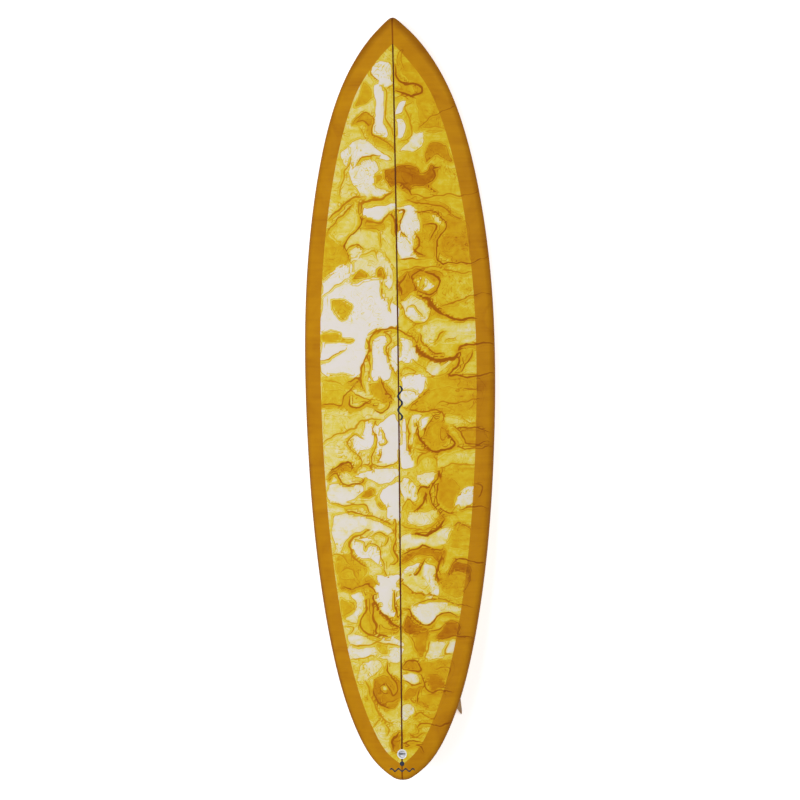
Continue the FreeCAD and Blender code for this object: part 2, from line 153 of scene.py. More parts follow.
right = [(w, y) for y, w in OUTLINE]
edge = closed_spline(right + [(-w, y) for w, y in right[-2:0:-1]], FINE)
right_edge = np.vstack([edge[: FINE * (len(OUTLINE) - 1)], [[0.0, LENGTH]]])
print("widest:", round(2 * right_edge[:, 0].max(), 1), "mm")

# %% [markdown]
# The other laws are short formulas. Each works on a whole array of stations at once.

# %% Rocker, foil and section


def smooth_step(low, high, value):
    """0 below low, 1 above high, and an S-curve between them."""
    share = np.clip((value - low) / (high - low), 0, 1)
    return share * share * (3 - 2 * share)


def half_width(y):
    """Half the board's width at y."""
    return np.interp(y, right_edge[:, 1], right_edge[:, 0])


def rocker(y):
    """Height of the bottom's centre line."""
    ahead = np.clip((y - WIDE_POINT) / (LENGTH - WIDE_POINT), 0, 1)
    behind = np.clip((WIDE_POINT - y) / WIDE_POINT, 0, 1)
    return NOSE_ROCKER * ahead**ROCKER_POWER + TAIL_ROCKER * behind**ROCKER_POWER


def thickness(y):
    """Thickness at the stringer, rounded off to nothing at both tips."""
    reach = np.where(y >= WIDE_POINT, LENGTH - WIDE_POINT, WIDE_POINT)
    share = np.clip(np.abs(y - WIDE_POINT) / reach, 0, 1)
    full = TIP_THICKNESS + (MAX_THICKNESS - TIP_THICKNESS) * (1 - share**FOIL_POWER)
    to_tip = np.clip(np.minimum(y, LENGTH - y) / TIP_ROUNDING, 0, 1)
    return full * np.sqrt(1 - (1 - to_tip) ** 2)


def section(y, share, deck):
    """Height at y of the deck or bottom, at a share of the half width."""
    rail_share = RAIL_HEIGHT_TAIL + (RAIL_HEIGHT_NOSE - RAIL_HEIGHT_TAIL) * smooth_step(0, 0.6 * LENGTH, y)
    power = BOTTOM_POWER_TAIL + (BOTTOM_POWER_NOSE - BOTTOM_POWER_TAIL) * smooth_step(0, 0.5 * LENGTH, y)
    thick = thickness(y)
    rail = rail_share * thick
    share = np.clip(np.abs(share), 0, 1)
    if deck:
        return rocker(y) + rail + (thick - rail) * np.sqrt(1 - share**DECK_POWER)
    return rocker(y) + rail * (1 - np.sqrt(1 - share**power))


print("thickness at the wide point:", round(float(thickness(np.array(WIDE_POINT))), 1), "mm")

# %% [markdown]
# In the frame the board has been set down on its fins and belly. Its two tips are the vertices of
# the deck laminate on the centre line that lie furthest apart, and they say how far it was turned.

# %% Where the board stands
deck_points = np.array([v.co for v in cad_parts["deck_laminate"].data.vertices])
ON_CENTRE_LINE = 1e-5
on_line = deck_points[np.abs(deck_points[:, 0]) < ON_CENTRE_LINE]
tail_tip = on_line[np.argmin(on_line[:, 1])]
nose_tip = on_line[np.argmax(np.linalg.norm(on_line - tail_tip, axis=1))]
tail_tip = on_line[np.argmax(np.linalg.norm(on_line - nose_tip, axis=1))]
rise = math.atan2(nose_tip[2] - tail_tip[2], nose_tip[1] - tail_tip[1])
pitch = math.atan2(NOSE_ROCKER - TAIL_ROCKER, LENGTH) - rise
turn = np.array(Matrix.Rotation(-pitch, 3, "X"))
base = tail_tip - turn @ np.array([0, 0, TAIL_ROCKER]) * MM


def stand(points):
    """Points of the board's own frame in millimetres, put where the board stands, in metres."""
    return np.asarray(points) @ turn.T * MM + base


def lie(points):
    """Points where the board stands, back in the board's own frame."""
    return (np.asarray(points) - base) @ turn / MM


print("pitch:", round(math.degrees(pitch), 4), "base:", base)

# %% [markdown]
# ## The deck skin
#
# The deck cloth wraps the deck and both rails and laps onto the bottom. A sculpted or subdivided box
# would need many hand moves to reach an even surface. A flat grid is simpler: it is added once, and
# each of its rows is laid round the hull at one station. Columns are spread by length and by how
# much the section turns, so that the tight rails get more of them than the flat deck.

# %% Stations from tail to nose
FINEST_ROW = 0.4
ROW_GROWTH = 0.09
WIDEST_ROW = 5.6


def stations():
    """Stations along the board, close together at the tips, with one at each point of the bottom lap."""
    steps = [0.0]
    while steps[-1] < LENGTH / 2:
        steps.append(steps[-1] + min(WIDEST_ROW, FINEST_ROW + ROW_GROWTH * steps[-1]))
    half = np.array(steps) * (LENGTH / 2) / steps[-1]
    rows = np.concatenate([half, (LENGTH - half[-2::-1])])
    for point in lap_points:
        rows[np.argmin(np.abs(rows - point))] = point
    return rows


def lap_line(inset):
    """The right half of the line at a constant distance inside the outline, as x and y."""
    along = np.gradient(right_edge[1:-1], axis=0)
    along /= np.linalg.norm(along, axis=1)[:, None]
    line = right_edge[1:-1] + np.stack([-along[:, 1], along[:, 0]], axis=1) * inset
    line = line[line[:, 0] > 0]
    return line[np.argsort(line[:, 1])]


bottom_lap = lap_line(BOTTOM_LAP)
lap_points = (bottom_lap[0, 1], bottom_lap[-1, 1])
rows = stations()


def lap_half_width(y):
    """Half the width of the bottom's open middle at y, which is nothing beyond its two points."""
    inside = np.interp(y, bottom_lap[:, 1], bottom_lap[:, 0], left=0.0, right=0.0)
    return np.where((y > lap_points[0]) & (y < lap_points[1]), inside, 0.0)


print("rows:", len(rows), "bottom lap points at", np.round(lap_points, 1))

# %% Laying a grid round the hull
TURN_WEIGHT = 34.0
FINE_SECTION = 240
ROUND = np.linspace(0, 0.5 * math.pi, FINE_SECTION)


def spread(across, up, count, weight):
    """Move a section's fine points to an even spread by length and turning."""
    run = np.hypot(np.diff(across), np.diff(up))
    heading = np.unwrap(np.arctan2(np.diff(up), np.diff(across)))
    turning = np.concatenate([[0.0], np.abs(np.diff(heading))])
    spent = np.concatenate([[0.0], np.cumsum(run * weight[1:] + TURN_WEIGHT * turning + 1e-9)])
    even = np.linspace(0, spent[-1], count + 1)
    return np.interp(even, spent, across), np.interp(even, spent, up)


def deck_section(y, deck_columns, under_columns):
    """One row of the deck skin: from the left lap edge round both rails to the right lap edge."""
    w = float(half_width(y))
    share = np.sin(ROUND)
    x, z = w * share, section(y, share, True)
    in_band = WINDOW_WEIGHT + (1 - WINDOW_WEIGHT) * (x > w - DECK_LAP)
    x, z = spread(x, z, deck_columns, 1 / in_band)
    lap = float(lap_half_width(y)) / max(w, 1e-6)
    low = np.linspace(0.5 * math.pi, math.asin(min(lap, 1.0)), FINE_SECTION)
    lx, lz = spread(w * np.sin(low), section(y, np.sin(low), False), under_columns, np.ones(FINE_SECTION))
    x, z = np.concatenate([x, lx[1:]]), np.concatenate([z, lz[1:]])
    return np.concatenate([-x[:0:-1], x]), np.concatenate([z[:0:-1], z])


def bottom_section(y, columns):
    """One row of the bottom skin, from lap edge to lap edge."""
    w = max(float(half_width(y)), 1e-6)
    share = np.sin(np.linspace(0, math.asin(min(float(lap_half_width(y)) / w, 1.0)), FINE_SECTION))
    x, z = spread(w * share, section(y, share, False), columns, np.ones(FINE_SECTION))
    return np.concatenate([x[:0:-1], -x]), np.concatenate([z[:0:-1], z])


def laid_grid(name, across, along, law):
    """A grid whose rows are laid on the hull by a law, closed where its edges meet."""
    bpy.ops.mesh.primitive_grid_add(x_subdivisions=across, y_subdivisions=len(along) - 1, size=1)
    piece = bpy.context.object
    piece.name = name
    points = np.zeros((len(along), across + 1, 3))
    for j, y in enumerate(along):
        x, z = law(y)
        points[j, :, 0], points[j, :, 1], points[j, :, 2] = x, y, z
    piece.data.vertices.foreach_set("co", stand(points.reshape(-1, 3)).ravel())
    bpy.ops.object.mode_set(mode="EDIT")
    bpy.ops.mesh.select_all(action="SELECT")
    bpy.ops.mesh.remove_doubles(threshold=0.01 * MM)
    bpy.ops.mesh.dissolve_degenerate(threshold=0.001 * MM)
    bpy.ops.mesh.normals_make_consistent(inside=False)
    bpy.ops.object.mode_set(mode="OBJECT")
    return piece


WINDOW_WEIGHT = 1.35
DECK_COLUMNS = 48
UNDER_COLUMNS = 8
deck_skin = laid_grid(
    "deck_skin", 2 * (DECK_COLUMNS + UNDER_COLUMNS), rows,
    lambda y: deck_section(y, DECK_COLUMNS, UNDER_COLUMNS),
)
print("deck skin:", len(deck_skin.data.polygons), "faces")

# %% [markdown]
# ## The bottom skin
#
# The bottom's hot coat fills the space inside the lapped edge. It is the same kind of grid with the
# same rows, so its edge meets the deck skin's edge all the way round.

# %% Bottom skin
BOTTOM_COLUMNS = 24
middle_rows = rows[(rows >= lap_points[0] - 1e-6) & (rows <= lap_points[1] + 1e-6)]
bottom_skin = laid_grid(
    "bottom_skin", 2 * BOTTOM_COLUMNS, middle_rows, lambda y: bottom_section(y, BOTTOM_COLUMNS)
)
print("bottom skin:", len(bottom_skin.data.polygons), "faces")

# %% [markdown]
# ## Pockets for the plug and the fin boxes
#
# The real skins are routed through where the plug and boxes are glued in. The cutter for one box is
# two upright cylinders and a bridge, joined as one solid. It is made once and mirrored to the other
# side. A wall is given to each skin first, so that the cut leaves clean edges.

# %% Cutters
PLUG_FROM_TAIL, PLUG_RADIUS = 74.0, 13.5
FIN_FROM_TAIL, FIN_FROM_STRINGER = 262.0, 138.0
FIN_CANT, FIN_TOE_IN = 6.0, 2.5
BARREL_RADIUS, BARREL_FROM_MIDDLE, BRIDGE_WIDTH = 14.0, 42.0, 16.0
CUTTER_DEPTH = 40.0
SLOPE_STEP = 5.0
CUTTER_SIDES = 96


def slope(law, y):
    """The slope of a height law at y, as an angle."""
    ends = [float(law(np.array(y + step))) for step in (-SLOPE_STEP, SLOPE_STEP)]
    return math.atan2(ends[1] - ends[0], 2 * SLOPE_STEP)


def to_board(spin, place):
    """The matrix that puts a local shape in millimetres at its place on the standing board."""
    own = Matrix.Translation(Vector(place)) @ spin.to_4x4()
    standing = Matrix.Translation(Vector(base)) @ Matrix(turn.tolist()).to_4x4()
    return standing @ Matrix.Scale(MM, 4) @ own


def cylinder(radius, depth, place):
    """An upright cylinder with many sides."""
    bpy.ops.mesh.primitive_cylinder_add(vertices=CUTTER_SIDES, radius=radius, depth=depth, location=place)
    return bpy.context.object


def united(piece, other):
    """Two solids made one."""
    add_modifier(piece, "BOOLEAN", object=other, operation="UNION", solver="EXACT")
    bpy.data.objects.remove(other)
    return piece


def box_cutter():
    """The space of the right fin box, with its place in its mesh."""
    front = cylinder(BARREL_RADIUS, CUTTER_DEPTH, (0, BARREL_FROM_MIDDLE, 0))
    united(front, cylinder(BARREL_RADIUS, CUTTER_DEPTH, (0, -BARREL_FROM_MIDDLE, 0)))
    bpy.ops.mesh.primitive_cube_add(size=1, location=(0, 0, 0))
    bridge = bpy.context.object
    bridge.scale = (BRIDGE_WIDTH, 2 * BARREL_FROM_MIDDLE, CUTTER_DEPTH)
    pick(bridge)
    bpy.ops.object.transform_apply(location=True, rotation=True, scale=True)
    united(front, bridge)
    pick(front)
    bpy.ops.object.transform_apply(location=True, rotation=True, scale=True)
    toe = Matrix.Rotation(math.radians(FIN_TOE_IN), 3, "Z")
    spin = toe @ Matrix.Rotation(slope(rocker, FIN_FROM_TAIL), 3, "X")
    spin = spin @ Matrix.Rotation(math.radians(-FIN_CANT), 3, "Y")
    share = FIN_FROM_STRINGER / float(half_width(FIN_FROM_TAIL))
    height = float(section(np.array(FIN_FROM_TAIL), np.array(share), False))
    front.data.transform(to_board(spin, (FIN_FROM_STRINGER, FIN_FROM_TAIL, height)))
    return front


def mirrored_pair(piece):
    """A right-hand solid and its mirror image, as one mesh with its faces outwards."""
    add_modifier(piece, "MIRROR", use_axis=(True, False, False), use_mirror_merge=False)
    bpy.ops.object.mode_set(mode="EDIT")
    bpy.ops.mesh.select_all(action="SELECT")
    bpy.ops.mesh.normals_make_consistent(inside=False)
    bpy.ops.object.mode_set(mode="OBJECT")
    return piece


def deck_height(y):
    """Height of the deck at the stringer."""
    return section(y, np.zeros_like(y), True)


box_cutters = mirrored_pair(box_cutter())
plug_cutter = cylinder(PLUG_RADIUS, CUTTER_DEPTH, (0, 0, 0))
plug_spin = Matrix.Rotation(slope(deck_height, PLUG_FROM_TAIL), 3, "X")
plug_place = (0, PLUG_FROM_TAIL, float(deck_height(np.array(PLUG_FROM_TAIL))))
plug_cutter.data.transform(to_board(plug_spin, plug_place))
SMOOTH_ANGLE = math.radians(35)

for skin in (deck_skin, bottom_skin):
    add_modifier(skin, "SOLIDIFY", thickness=CLOTH * MM, offset=-1)
    add_modifier(skin, "BOOLEAN", object=box_cutters, operation="DIFFERENCE", solver="EXACT")
add_modifier(deck_skin, "BOOLEAN", object=plug_cutter, operation="DIFFERENCE", solver="EXACT")
for cutter in (box_cutters, plug_cutter):
    bpy.data.objects.remove(cutter)
for skin in (deck_skin, bottom_skin):
    pick(skin)
    bpy.ops.object.shade_smooth_by_angle(angle=SMOOTH_ANGLE)
    skin.data.calc_loop_triangles()
    print(skin.name, "has", len(skin.data.loop_triangles), "triangles")

# %% [markdown]
# ## The poured tint
#
# A resin tint is poured by hand: white and clear-yellow resin run together on the cloth, and amber is
# drawn through them in veins. Noise alone gives an even marble with no hand in it. Here the pours are
# laid down one after another, as on the bench, each in the place where it was poured. A `pool` is a
# blot with a soft edge and a `vein` is a drawn line. The number after the name is the strength of
# the amber, from 0, white, to 1, burnt amber. Then come the softness or width in millimetres and the
# points, as millimetres right of the stringer and back from the nose.

# %% Pours, from nose to tail
POURS = [
    # the nose
    ("pool", 0.46, 8, [
        (19, 86), (75, 146), (115, 232), (140, 315), (76, 311), (66, 225), (37, 180), (15, 127)
    ]),
    ("pool", 0.02, 5, [(-41, 116), (-6, 127), (-3, 180), (-23, 187), (-49, 180), (-64, 146), (-56, 127)]),
    ("pool", 0.02, 6, [
        (-50, 187), (-31, 191), (-26, 240), (-25, 285), (-21, 330), (-44, 326), (-59, 311), (-54, 262),
        (-57, 221)
    ]),
    ("pool", 0.06, 8, [
        (-123, 345), (-89, 337), (-59, 356), (-22, 378), (-7, 392), (-52, 390), (-97, 393), (-116, 412),
        (-142, 408), (-153, 378)
    ]),
    ("pool", 0.08, 8, [
        (-109, 401), (-60, 397), (-41, 420), (-60, 442), (-53, 476), (-16, 480), (-76, 502), (-106, 480),
        (-128, 446), (-135, 420)
    ]),
    ("pool", 0.02, 5, [(12, 236), (36, 236), (28, 266), (7, 272)]),
    ("pool", 0.02, 5, [(5, 285), (24, 288), (29, 315), (12, 339), (5, 326)]),
    ("pool", 0.12, 8, [(50, 318), (80, 318), (80, 352), (53, 371), (16, 375), (42, 345)]),
    ("pool", 0.5, 7, [(-78, 180), (-57, 210), (-73, 232), (-107, 243), (-99, 210)]),
    ("pool", 0.55, 6, [
        (-118, 296), (-96, 270), (-62, 273), (-59, 315), (-74, 315), (-81, 292), (-103, 296)
    ]),
    ("pool", 0.4, 7, [(-63, 322), (-36, 326), (-7, 352), (-3, 375), (-29, 363), (-59, 345)]),
    ("pool", 0.8, 5, [
        (-30, 423), (15, 412), (52, 420), (75, 438), (101, 408), (114, 427), (93, 457), (112, 485),
        (89, 468), (52, 472), (37, 487), (11, 465), (-1, 461), (-16, 465), (-27, 446)
    ]),
    ("pool", 0.66, 5, [
        (98, 356), (128, 352), (150, 382), (161, 403), (139, 397), (113, 382), (85, 401), (91, 375)
    ]),
    ("pool", 0.6, 4, [(-60, 442), (-38, 438), (-53, 467)]),
    ("pool", 0.48, 8, [(36, 510), (89, 506), (145, 525), (189, 562), (126, 562), (89, 532)]),
    ("vein", 0.86, 7, [
        (9, 142), (14, 172), (33, 191), (63, 187), (78, 202), (68, 217), (48, 221), (25, 210), (5, 202)
    ]),
    ("vein", 0.6, 4, [(15, 135), (15, 105), (27, 95), (24, 120), (32, 146)]),
    ("vein", 0.62, 5, [
        (-115, 294), (-96, 273), (-73, 266), (-56, 285), (-62, 315), (-44, 333), (-22, 347), (-1, 369)
    ]),
    ("vein", 0.7, 4, [(-109, 296), (-85, 285), (-70, 303), (-64, 322)]),
    ("vein", 0.5, 4, [(-96, 307), (-89, 326), (-80, 339), (-74, 330)]),
    ("vein", 0.55, 4, [(-70, 148), (-57, 165), (-42, 176)]),
    ("vein", 0.6, 5, [(-103, 399), (-78, 386), (-50, 382)]),
    ("vein", 0.5, 5, [(-123, 382), (-131, 408), (-146, 423), (-151, 465), (-157, 495)]),
    ("vein", 0.62, 6, [(-193, 557), (-155, 521), (-121, 498), (-93, 495)]),
    ("vein", 0.62, 8, [(-94, 551), (-95, 517), (-76, 510), (-42, 502), (-6, 480)]),
    ("vein", 0.66, 5, [(33, 513), (89, 517), (134, 532), (182, 558)]),
    ("vein", 0.6, 5, [(52, 495), (119, 498), (179, 495), (239, 483)]),
    ("vein", 0.66, 4, [(65, 304), (92, 285), (126, 270), (163, 247)]),
    ("vein", 0.5, 4, [(69, 304), (106, 309), (146, 310)]),
    ("vein", 0.5, 5, [(-23, 191), (-24, 225), (-24, 262), (-13, 300), (-3, 337)]),
    ("vein", 0.45, 4, [(-20, 191), (-5, 187), (-1, 210)]),
    ("vein", 0.5, 5, [(55, 236), (36, 255), (39, 277), (46, 326), (16, 347)]),
    ("vein", 0.8, 5, [(3, 453), (22, 461), (40, 483), (51, 502)]),
    ("vein", 0.85, 5, [(89, 461), (108, 438), (105, 420), (124, 416)]),
    ("vein", 0.55, 4, [(6, 221), (29, 221), (42, 232)]),
    # from the shoulders to the middle
    ("pool", 0.46, 8, [(-208, 603), (-183, 595), (-150, 637), (-138, 674), (-208, 719)]),
    ("pool", 0.24, 8, [(-187, 599), (-164, 558), (-127, 528), (-119, 565), (-138, 603), (-165, 622)]),
    ("pool", 0.02, 5, [
        (-99, 524), (-78, 532), (-48, 520), (-3, 513), (1, 532), (-26, 550), (-56, 558), (-93, 554)
    ]),
    ("pool", 0.5, 6, [(-97, 558), (-48, 562), (-41, 584), (-93, 586)]),
    ("pool", 0.02, 5, [
        (6, 532), (27, 524), (55, 532), (64, 565), (72, 592), (57, 610), (64, 633), (42, 648), (57, 670),
        (6, 670)
    ]),
    ("pool", 0.44, 6, [
        (61, 539), (124, 547), (137, 584), (117, 633), (109, 663), (64, 670), (45, 646), (61, 599),
        (72, 584)
    ]),
    ("pool", 0.16, 5, [(91, 547), (121, 558), (128, 580), (106, 573)]),
    ("pool", 0.56, 8, [(139, 550), (194, 569), (205, 678), (154, 680), (119, 652), (136, 607)]),
    ("pool", 0.12, 7, [(-138, 633), (-101, 639), (-88, 652), (-127, 670)]),
    ("pool", 0.02, 6, [
        (-212, 730), (-135, 678), (-127, 734), (-79, 725), (-45, 734), (-30, 787), (-2, 809), (0, 862),
        (-64, 865), (-94, 914), (-109, 993), (-216, 985)
    ]),
    ("pool", 0.16, 8, [
        (-131, 670), (-63, 648), (-26, 667), (-11, 749), (-49, 734), (-79, 727), (-127, 734)
    ]),
    ("pool", 0.7, 4, [(-60, 706), (-47, 700), (-37, 723), (-58, 726)]),
    ("pool", 0.64, 4, [(-121, 721), (-105, 700), (-88, 720)]),
    ("pool", 0.5, 6, [(-192, 787), (-157, 785), (-133, 805), (-150, 839), (-180, 813)]),
    ("pool", 0.5, 6, [(-216, 879), (-169, 875), (-165, 888), (-130, 895), (-146, 900), (-216, 903)]),
    ("pool", 0.02, 5, [
        (-64, 892), (-34, 884), (-25, 914), (-34, 940), (-19, 982), (-27, 1008), (-79, 1012), (-79, 959),
        (-77, 922)
    ]),
    ("pool", 0.02, 4, [(-27, 929), (-1, 910), (-1, 982), (-19, 959)]),
    ("pool", 0.62, 8, [
        (8, 719), (38, 708), (79, 697), (124, 712), (131, 742), (109, 772), (86, 772), (41, 764),
        (19, 787), (8, 787)
    ]),
    ("pool", 0.1, 4, [(51, 729), (83, 723), (107, 745), (83, 759), (56, 749)]),
    ("pool", 0.4, 8, [(120, 719), (212, 719), (216, 832), (154, 828), (109, 802)]),
    ("pool", 0.12, 5, [(38, 772), (71, 787), (90, 813), (86, 845), (49, 841), (19, 824), (11, 798)]),
    ("pool", 0.24, 8, [(49, 854), (214, 847), (213, 903), (86, 907), (60, 880)]),
    ("pool", 0.02, 5, [(7, 895), (37, 903), (60, 944), (48, 965), (7, 955)]),
    ("pool", 0.34, 8, [(67, 914), (161, 914), (142, 952), (86, 937)]),
    ("pool", 0.4, 8, [(-216, 997), (-109, 1000), (-106, 1030), (-147, 1034), (-154, 1079), (-216, 1087)]),
    ("pool", 0.5, 8, [(71, 1004), (221, 1000), (220, 1097), (40, 1097), (74, 1045)]),
    ("pool", 0.02, 4, [(7, 997), (71, 997), (76, 1023), (59, 1053), (33, 1079), (5, 1079)]),
    ("pool", 0.14, 6, [(86, 959), (153, 955), (116, 993), (78, 993)]),
    ("pool", 0.55, 6, [(-79, 1027), (-42, 1015), (-19, 1042), (-27, 1072), (-64, 1064), (-76, 1049)]),
    ("vein", 0.62, 5, [(-194, 597), (-164, 550), (-119, 515)]),
    ("vein", 0.78, 5, [
        (-101, 519), (-99, 554), (-104, 580), (-123, 601), (-144, 622), (-148, 640), (-135, 670)
    ]),
    ("vein", 0.6, 6, [(-99, 558), (-78, 567), (-41, 562), (-16, 539)]),
    ("vein", 0.55, 4, [(-99, 588), (-63, 584), (-48, 603), (-43, 633)]),
    ("vein", 0.72, 6, [(-12, 539), (-7, 584), (-2, 605)]),
    ("vein", 0.75, 5, [(8, 537), (21, 537), (12, 565), (12, 592), (29, 607)]),
    ("vein", 0.6, 5, [(-142, 633), (-112, 629), (-90, 644)]),
    ("vein", 0.4, 5, [(-90, 659), (-63, 652), (-52, 670)]),
    ("vein", 0.4, 4, [(-26, 652), (-22, 674), (-7, 693)]),
    ("vein", 0.55, 4, [(-49, 738), (-41, 764), (-32, 781)]),
    ("vein", 0.5, 4, [(-13, 781), (-22, 802), (-22, 815)]),
    ("vein", 0.34, 4, [(-212, 772), (-176, 749), (-139, 727)]),
    ("vein", 0.5, 5, [(-216, 952), (-184, 944), (-154, 925)]),
    ("vein", 0.66, 6, [
        (-100, 1042), (-102, 974), (-87, 929), (-64, 879), (-45, 865), (-11, 866), (30, 888), (50, 909)
    ]),
    ("vein", 0.6, 5, [
        (-74, 1010), (-85, 967), (-75, 907), (-49, 871), (-26, 877), (-18, 899), (-34, 925), (-27, 959),
        (-1, 993)
    ]),
    ("vein", 0.5, 4, [(7, 997), (48, 993), (26, 976), (9, 991)]),
    ("vein", 0.8, 5, [
        (55, 536), (87, 536), (121, 554), (137, 580), (122, 618), (111, 659), (124, 689), (147, 685),
        (184, 684), (255, 670)
    ]),
    ("vein", 0.78, 5, [(87, 575), (109, 582), (106, 603), (98, 618)]),
    ("vein", 0.72, 6, [(61, 597), (62, 633), (47, 647), (72, 661)]),
    ("vein", 0.6, 6, [(8, 670), (30, 674), (60, 674)]),
    ("vein", 0.55, 5, [(8, 704), (49, 700), (105, 693), (154, 712), (210, 708)]),
    ("vein", 0.82, 5, [
        (43, 745), (49, 721), (71, 708), (105, 714), (121, 730), (111, 760), (86, 769), (56, 761),
        (43, 745)
    ]),
    ("vein", 0.6, 4, [(64, 727), (75, 745), (71, 727)]),
    ("vein", 0.74, 8, [(11, 772), (11, 742), (30, 719)]),
    ("vein", 0.84, 11, [(60, 774), (83, 779), (97, 809), (124, 828)]),
    ("vein", 0.84, 8, [(120, 826), (154, 839), (184, 841), (216, 841)]),
    ("vein", 0.6, 4, [(6, 796), (26, 832), (64, 851), (89, 843), (94, 817)]),
    ("vein", 0.5, 4, [(30, 805), (49, 802), (75, 828)]),
    ("vein", 0.64, 4, [(116, 810), (161, 794), (214, 774), (263, 774)]),
    ("vein", 0.9, 11, [(50, 910), (58, 929), (86, 946), (142, 957), (168, 940)]),
    ("vein", 0.78, 6, [(168, 940), (176, 914), (217, 912), (270, 912)]),
    ("vein", 0.7, 5, [(60, 879), (64, 899), (86, 922), (123, 940)]),
    ("vein", 0.62, 5, [(101, 904), (118, 888), (133, 879)]),
    ("vein", 0.55, 4, [(135, 903), (157, 899), (165, 892)]),
    ("vein", 0.78, 6, [(178, 916), (165, 970), (146, 1000), (179, 1002), (236, 1000), (270, 997)]),
    ("vein", 0.74, 5, [(206, 933), (185, 967), (178, 993)]),
    ("vein", 0.5, 4, [(45, 959), (86, 987), (123, 1000), (146, 982)]),
    ("vein", 0.5, 4, [(37, 869), (52, 854), (62, 858)]),
    ("vein", 0.5, 4, [(28, 879), (41, 869), (60, 888)]),
    ("vein", 0.66, 5, [(80, 1034), (63, 1060), (41, 1085)]),
    ("vein", 0.7, 5, [(187, 1032), (215, 1038)]),
    ("vein", 0.7, 5, [(-145, 1014), (-113, 1002), (-106, 1034)]),
    ("vein", 0.7, 5, [(-214, 1081), (-166, 1079), (-151, 1049), (-121, 1015)]),
    ("vein", 0.45, 5, [(-214, 1008), (-166, 1023)]),
    ("vein", 0.74, 6, [(-139, 1060), (-136, 1079), (-113, 1089), (-87, 1075)]),
    ("vein", 0.6, 5, [(-128, 1049), (-102, 1064), (-76, 1064)]),
    ("vein", 0.74, 5, [(-46, 1012), (-34, 1042), (-19, 1064)]),
    # the middle
    ("pool", 0.44, 8, [(-215, 1041), (-152, 1041), (-159, 1082), (-216, 1088)]),
    ("pool", 0.02, 5, [
        (-84, 1112), (-66, 1124), (-70, 1154), (-81, 1202), (-119, 1202), (-130, 1172), (-104, 1157)
    ]),
    ("pool", 0.02, 5, [
        (-47, 1124), (-3, 1111), (-2, 1236), (-33, 1246), (-59, 1232), (-66, 1206), (-62, 1154)
    ]),
    ("pool", 0.02, 4, [(5, 1127), (20, 1127), (31, 1217), (38, 1255), (5, 1251)]),
    ("pool", 0.3, 8, [(-212, 1109), (-103, 1112), (-133, 1146), (-212, 1172)]),
    ("pool", 0.24, 8, [(-211, 1191), (-149, 1184), (-112, 1225), (-142, 1240), (-205, 1251)]),
    ("pool", 0.08, 8, [(-142, 1274), (-82, 1266), (-14, 1251), (-3, 1277), (-52, 1300), (-97, 1289)]),
    ("pool", 0.02, 5, [(-52, 1313), (-3, 1300), (-2, 1401), (-34, 1397), (-34, 1367), (-60, 1334)]),
    ("pool", 0.1, 8, [(-198, 1304), (-112, 1304), (-112, 1337), (-199, 1352)]),
    ("pool", 0.1, 9, [
        (-191, 1390), (-135, 1379), (-83, 1401), (-30, 1420), (-23, 1439), (-83, 1435), (-128, 1439),
        (-151, 1465), (-185, 1495)
    ]),
    ("pool", 0.02, 4, [
        (-139, 1459), (-106, 1450), (-83, 1457), (-53, 1499), (-50, 1540), (-84, 1514), (-106, 1510),
        (-132, 1491)
    ]),
    ("pool", 0.02, 6, [(-73, 1581), (-32, 1589), (-5, 1581), (-2, 1629), (-69, 1629)]),
    ("pool", 0.45, 7, [(-185, 1506), (-136, 1502), (-99, 1536), (-106, 1566), (-137, 1581), (-170, 1577)]),
    ("pool", 0.5, 8, [(70, 1041), (220, 1041), (217, 1135), (141, 1090), (47, 1086)]),
    ("pool", 0.14, 6, [(10, 1045), (47, 1045), (40, 1075), (9, 1082)]),
    ("pool", 0.16, 7, [(39, 1101), (84, 1097), (58, 1116), (46, 1154), (39, 1214), (28, 1127)]),
    ("pool", 0.52, 4, [
        (71, 1165), (78, 1139), (103, 1129), (129, 1135), (140, 1161), (129, 1191), (106, 1202),
        (80, 1191)
    ]),
    ("pool", 0.02, 4, [(52, 1122), (84, 1108), (71, 1135), (58, 1150)]),
    ("pool", 0.3, 8, [(126, 1112), (217, 1127), (178, 1139), (140, 1139)]),
    ("pool", 0.3, 8, [(113, 1225), (215, 1214), (215, 1251), (106, 1255)]),
    ("pool", 0.62, 5, [(174, 1142), (234, 1154), (241, 1187), (189, 1189)]),
    ("pool", 0.5, 8, [(109, 1262), (215, 1251), (210, 1311), (177, 1326), (150, 1304)]),
    ("pool", 0.6, 9, [(113, 1281), (158, 1300), (169, 1341), (150, 1379), (120, 1364), (109, 1319)]),
    ("pool", 0.14, 6, [(169, 1315), (203, 1311), (206, 1360), (158, 1360)]),
    ("pool", 0.14, 6, [(4, 1281), (45, 1304), (53, 1341), (30, 1352), (8, 1337)]),
    ("pool", 0.14, 6, [(46, 1281), (98, 1262), (90, 1300), (60, 1300)]),
    ("pool", 0.16, 7, [(19, 1379), (105, 1379), (97, 1412), (26, 1420)]),
    ("pool", 0.16, 7, [(7, 1446), (150, 1427), (153, 1465), (82, 1476), (7, 1484)]),
    ("pool", 0.46, 7, [(153, 1420), (196, 1420), (190, 1487), (138, 1472)]),
    ("pool", 0.7, 5, [
        (44, 1484), (123, 1487), (121, 1510), (111, 1525), (85, 1502), (44, 1506), (6, 1525), (6, 1506)
    ]),
    ("pool", 0.08, 4, [(6, 1544), (57, 1525), (47, 1555), (25, 1574), (6, 1577)]),
    ("pool", 0.08, 5, [(72, 1521), (96, 1529), (105, 1566), (107, 1629), (66, 1626), (58, 1581)]),
    ("pool", 0.82, 6, [(134, 1555), (156, 1525), (194, 1536), (184, 1594), (137, 1585)]),
    ("pool", 0.3, 8, [(6, 1596), (58, 1604), (58, 1629), (6, 1629)]),
    ("vein", 0.68, 5, [(-216, 1079), (-163, 1079), (-150, 1052)]),
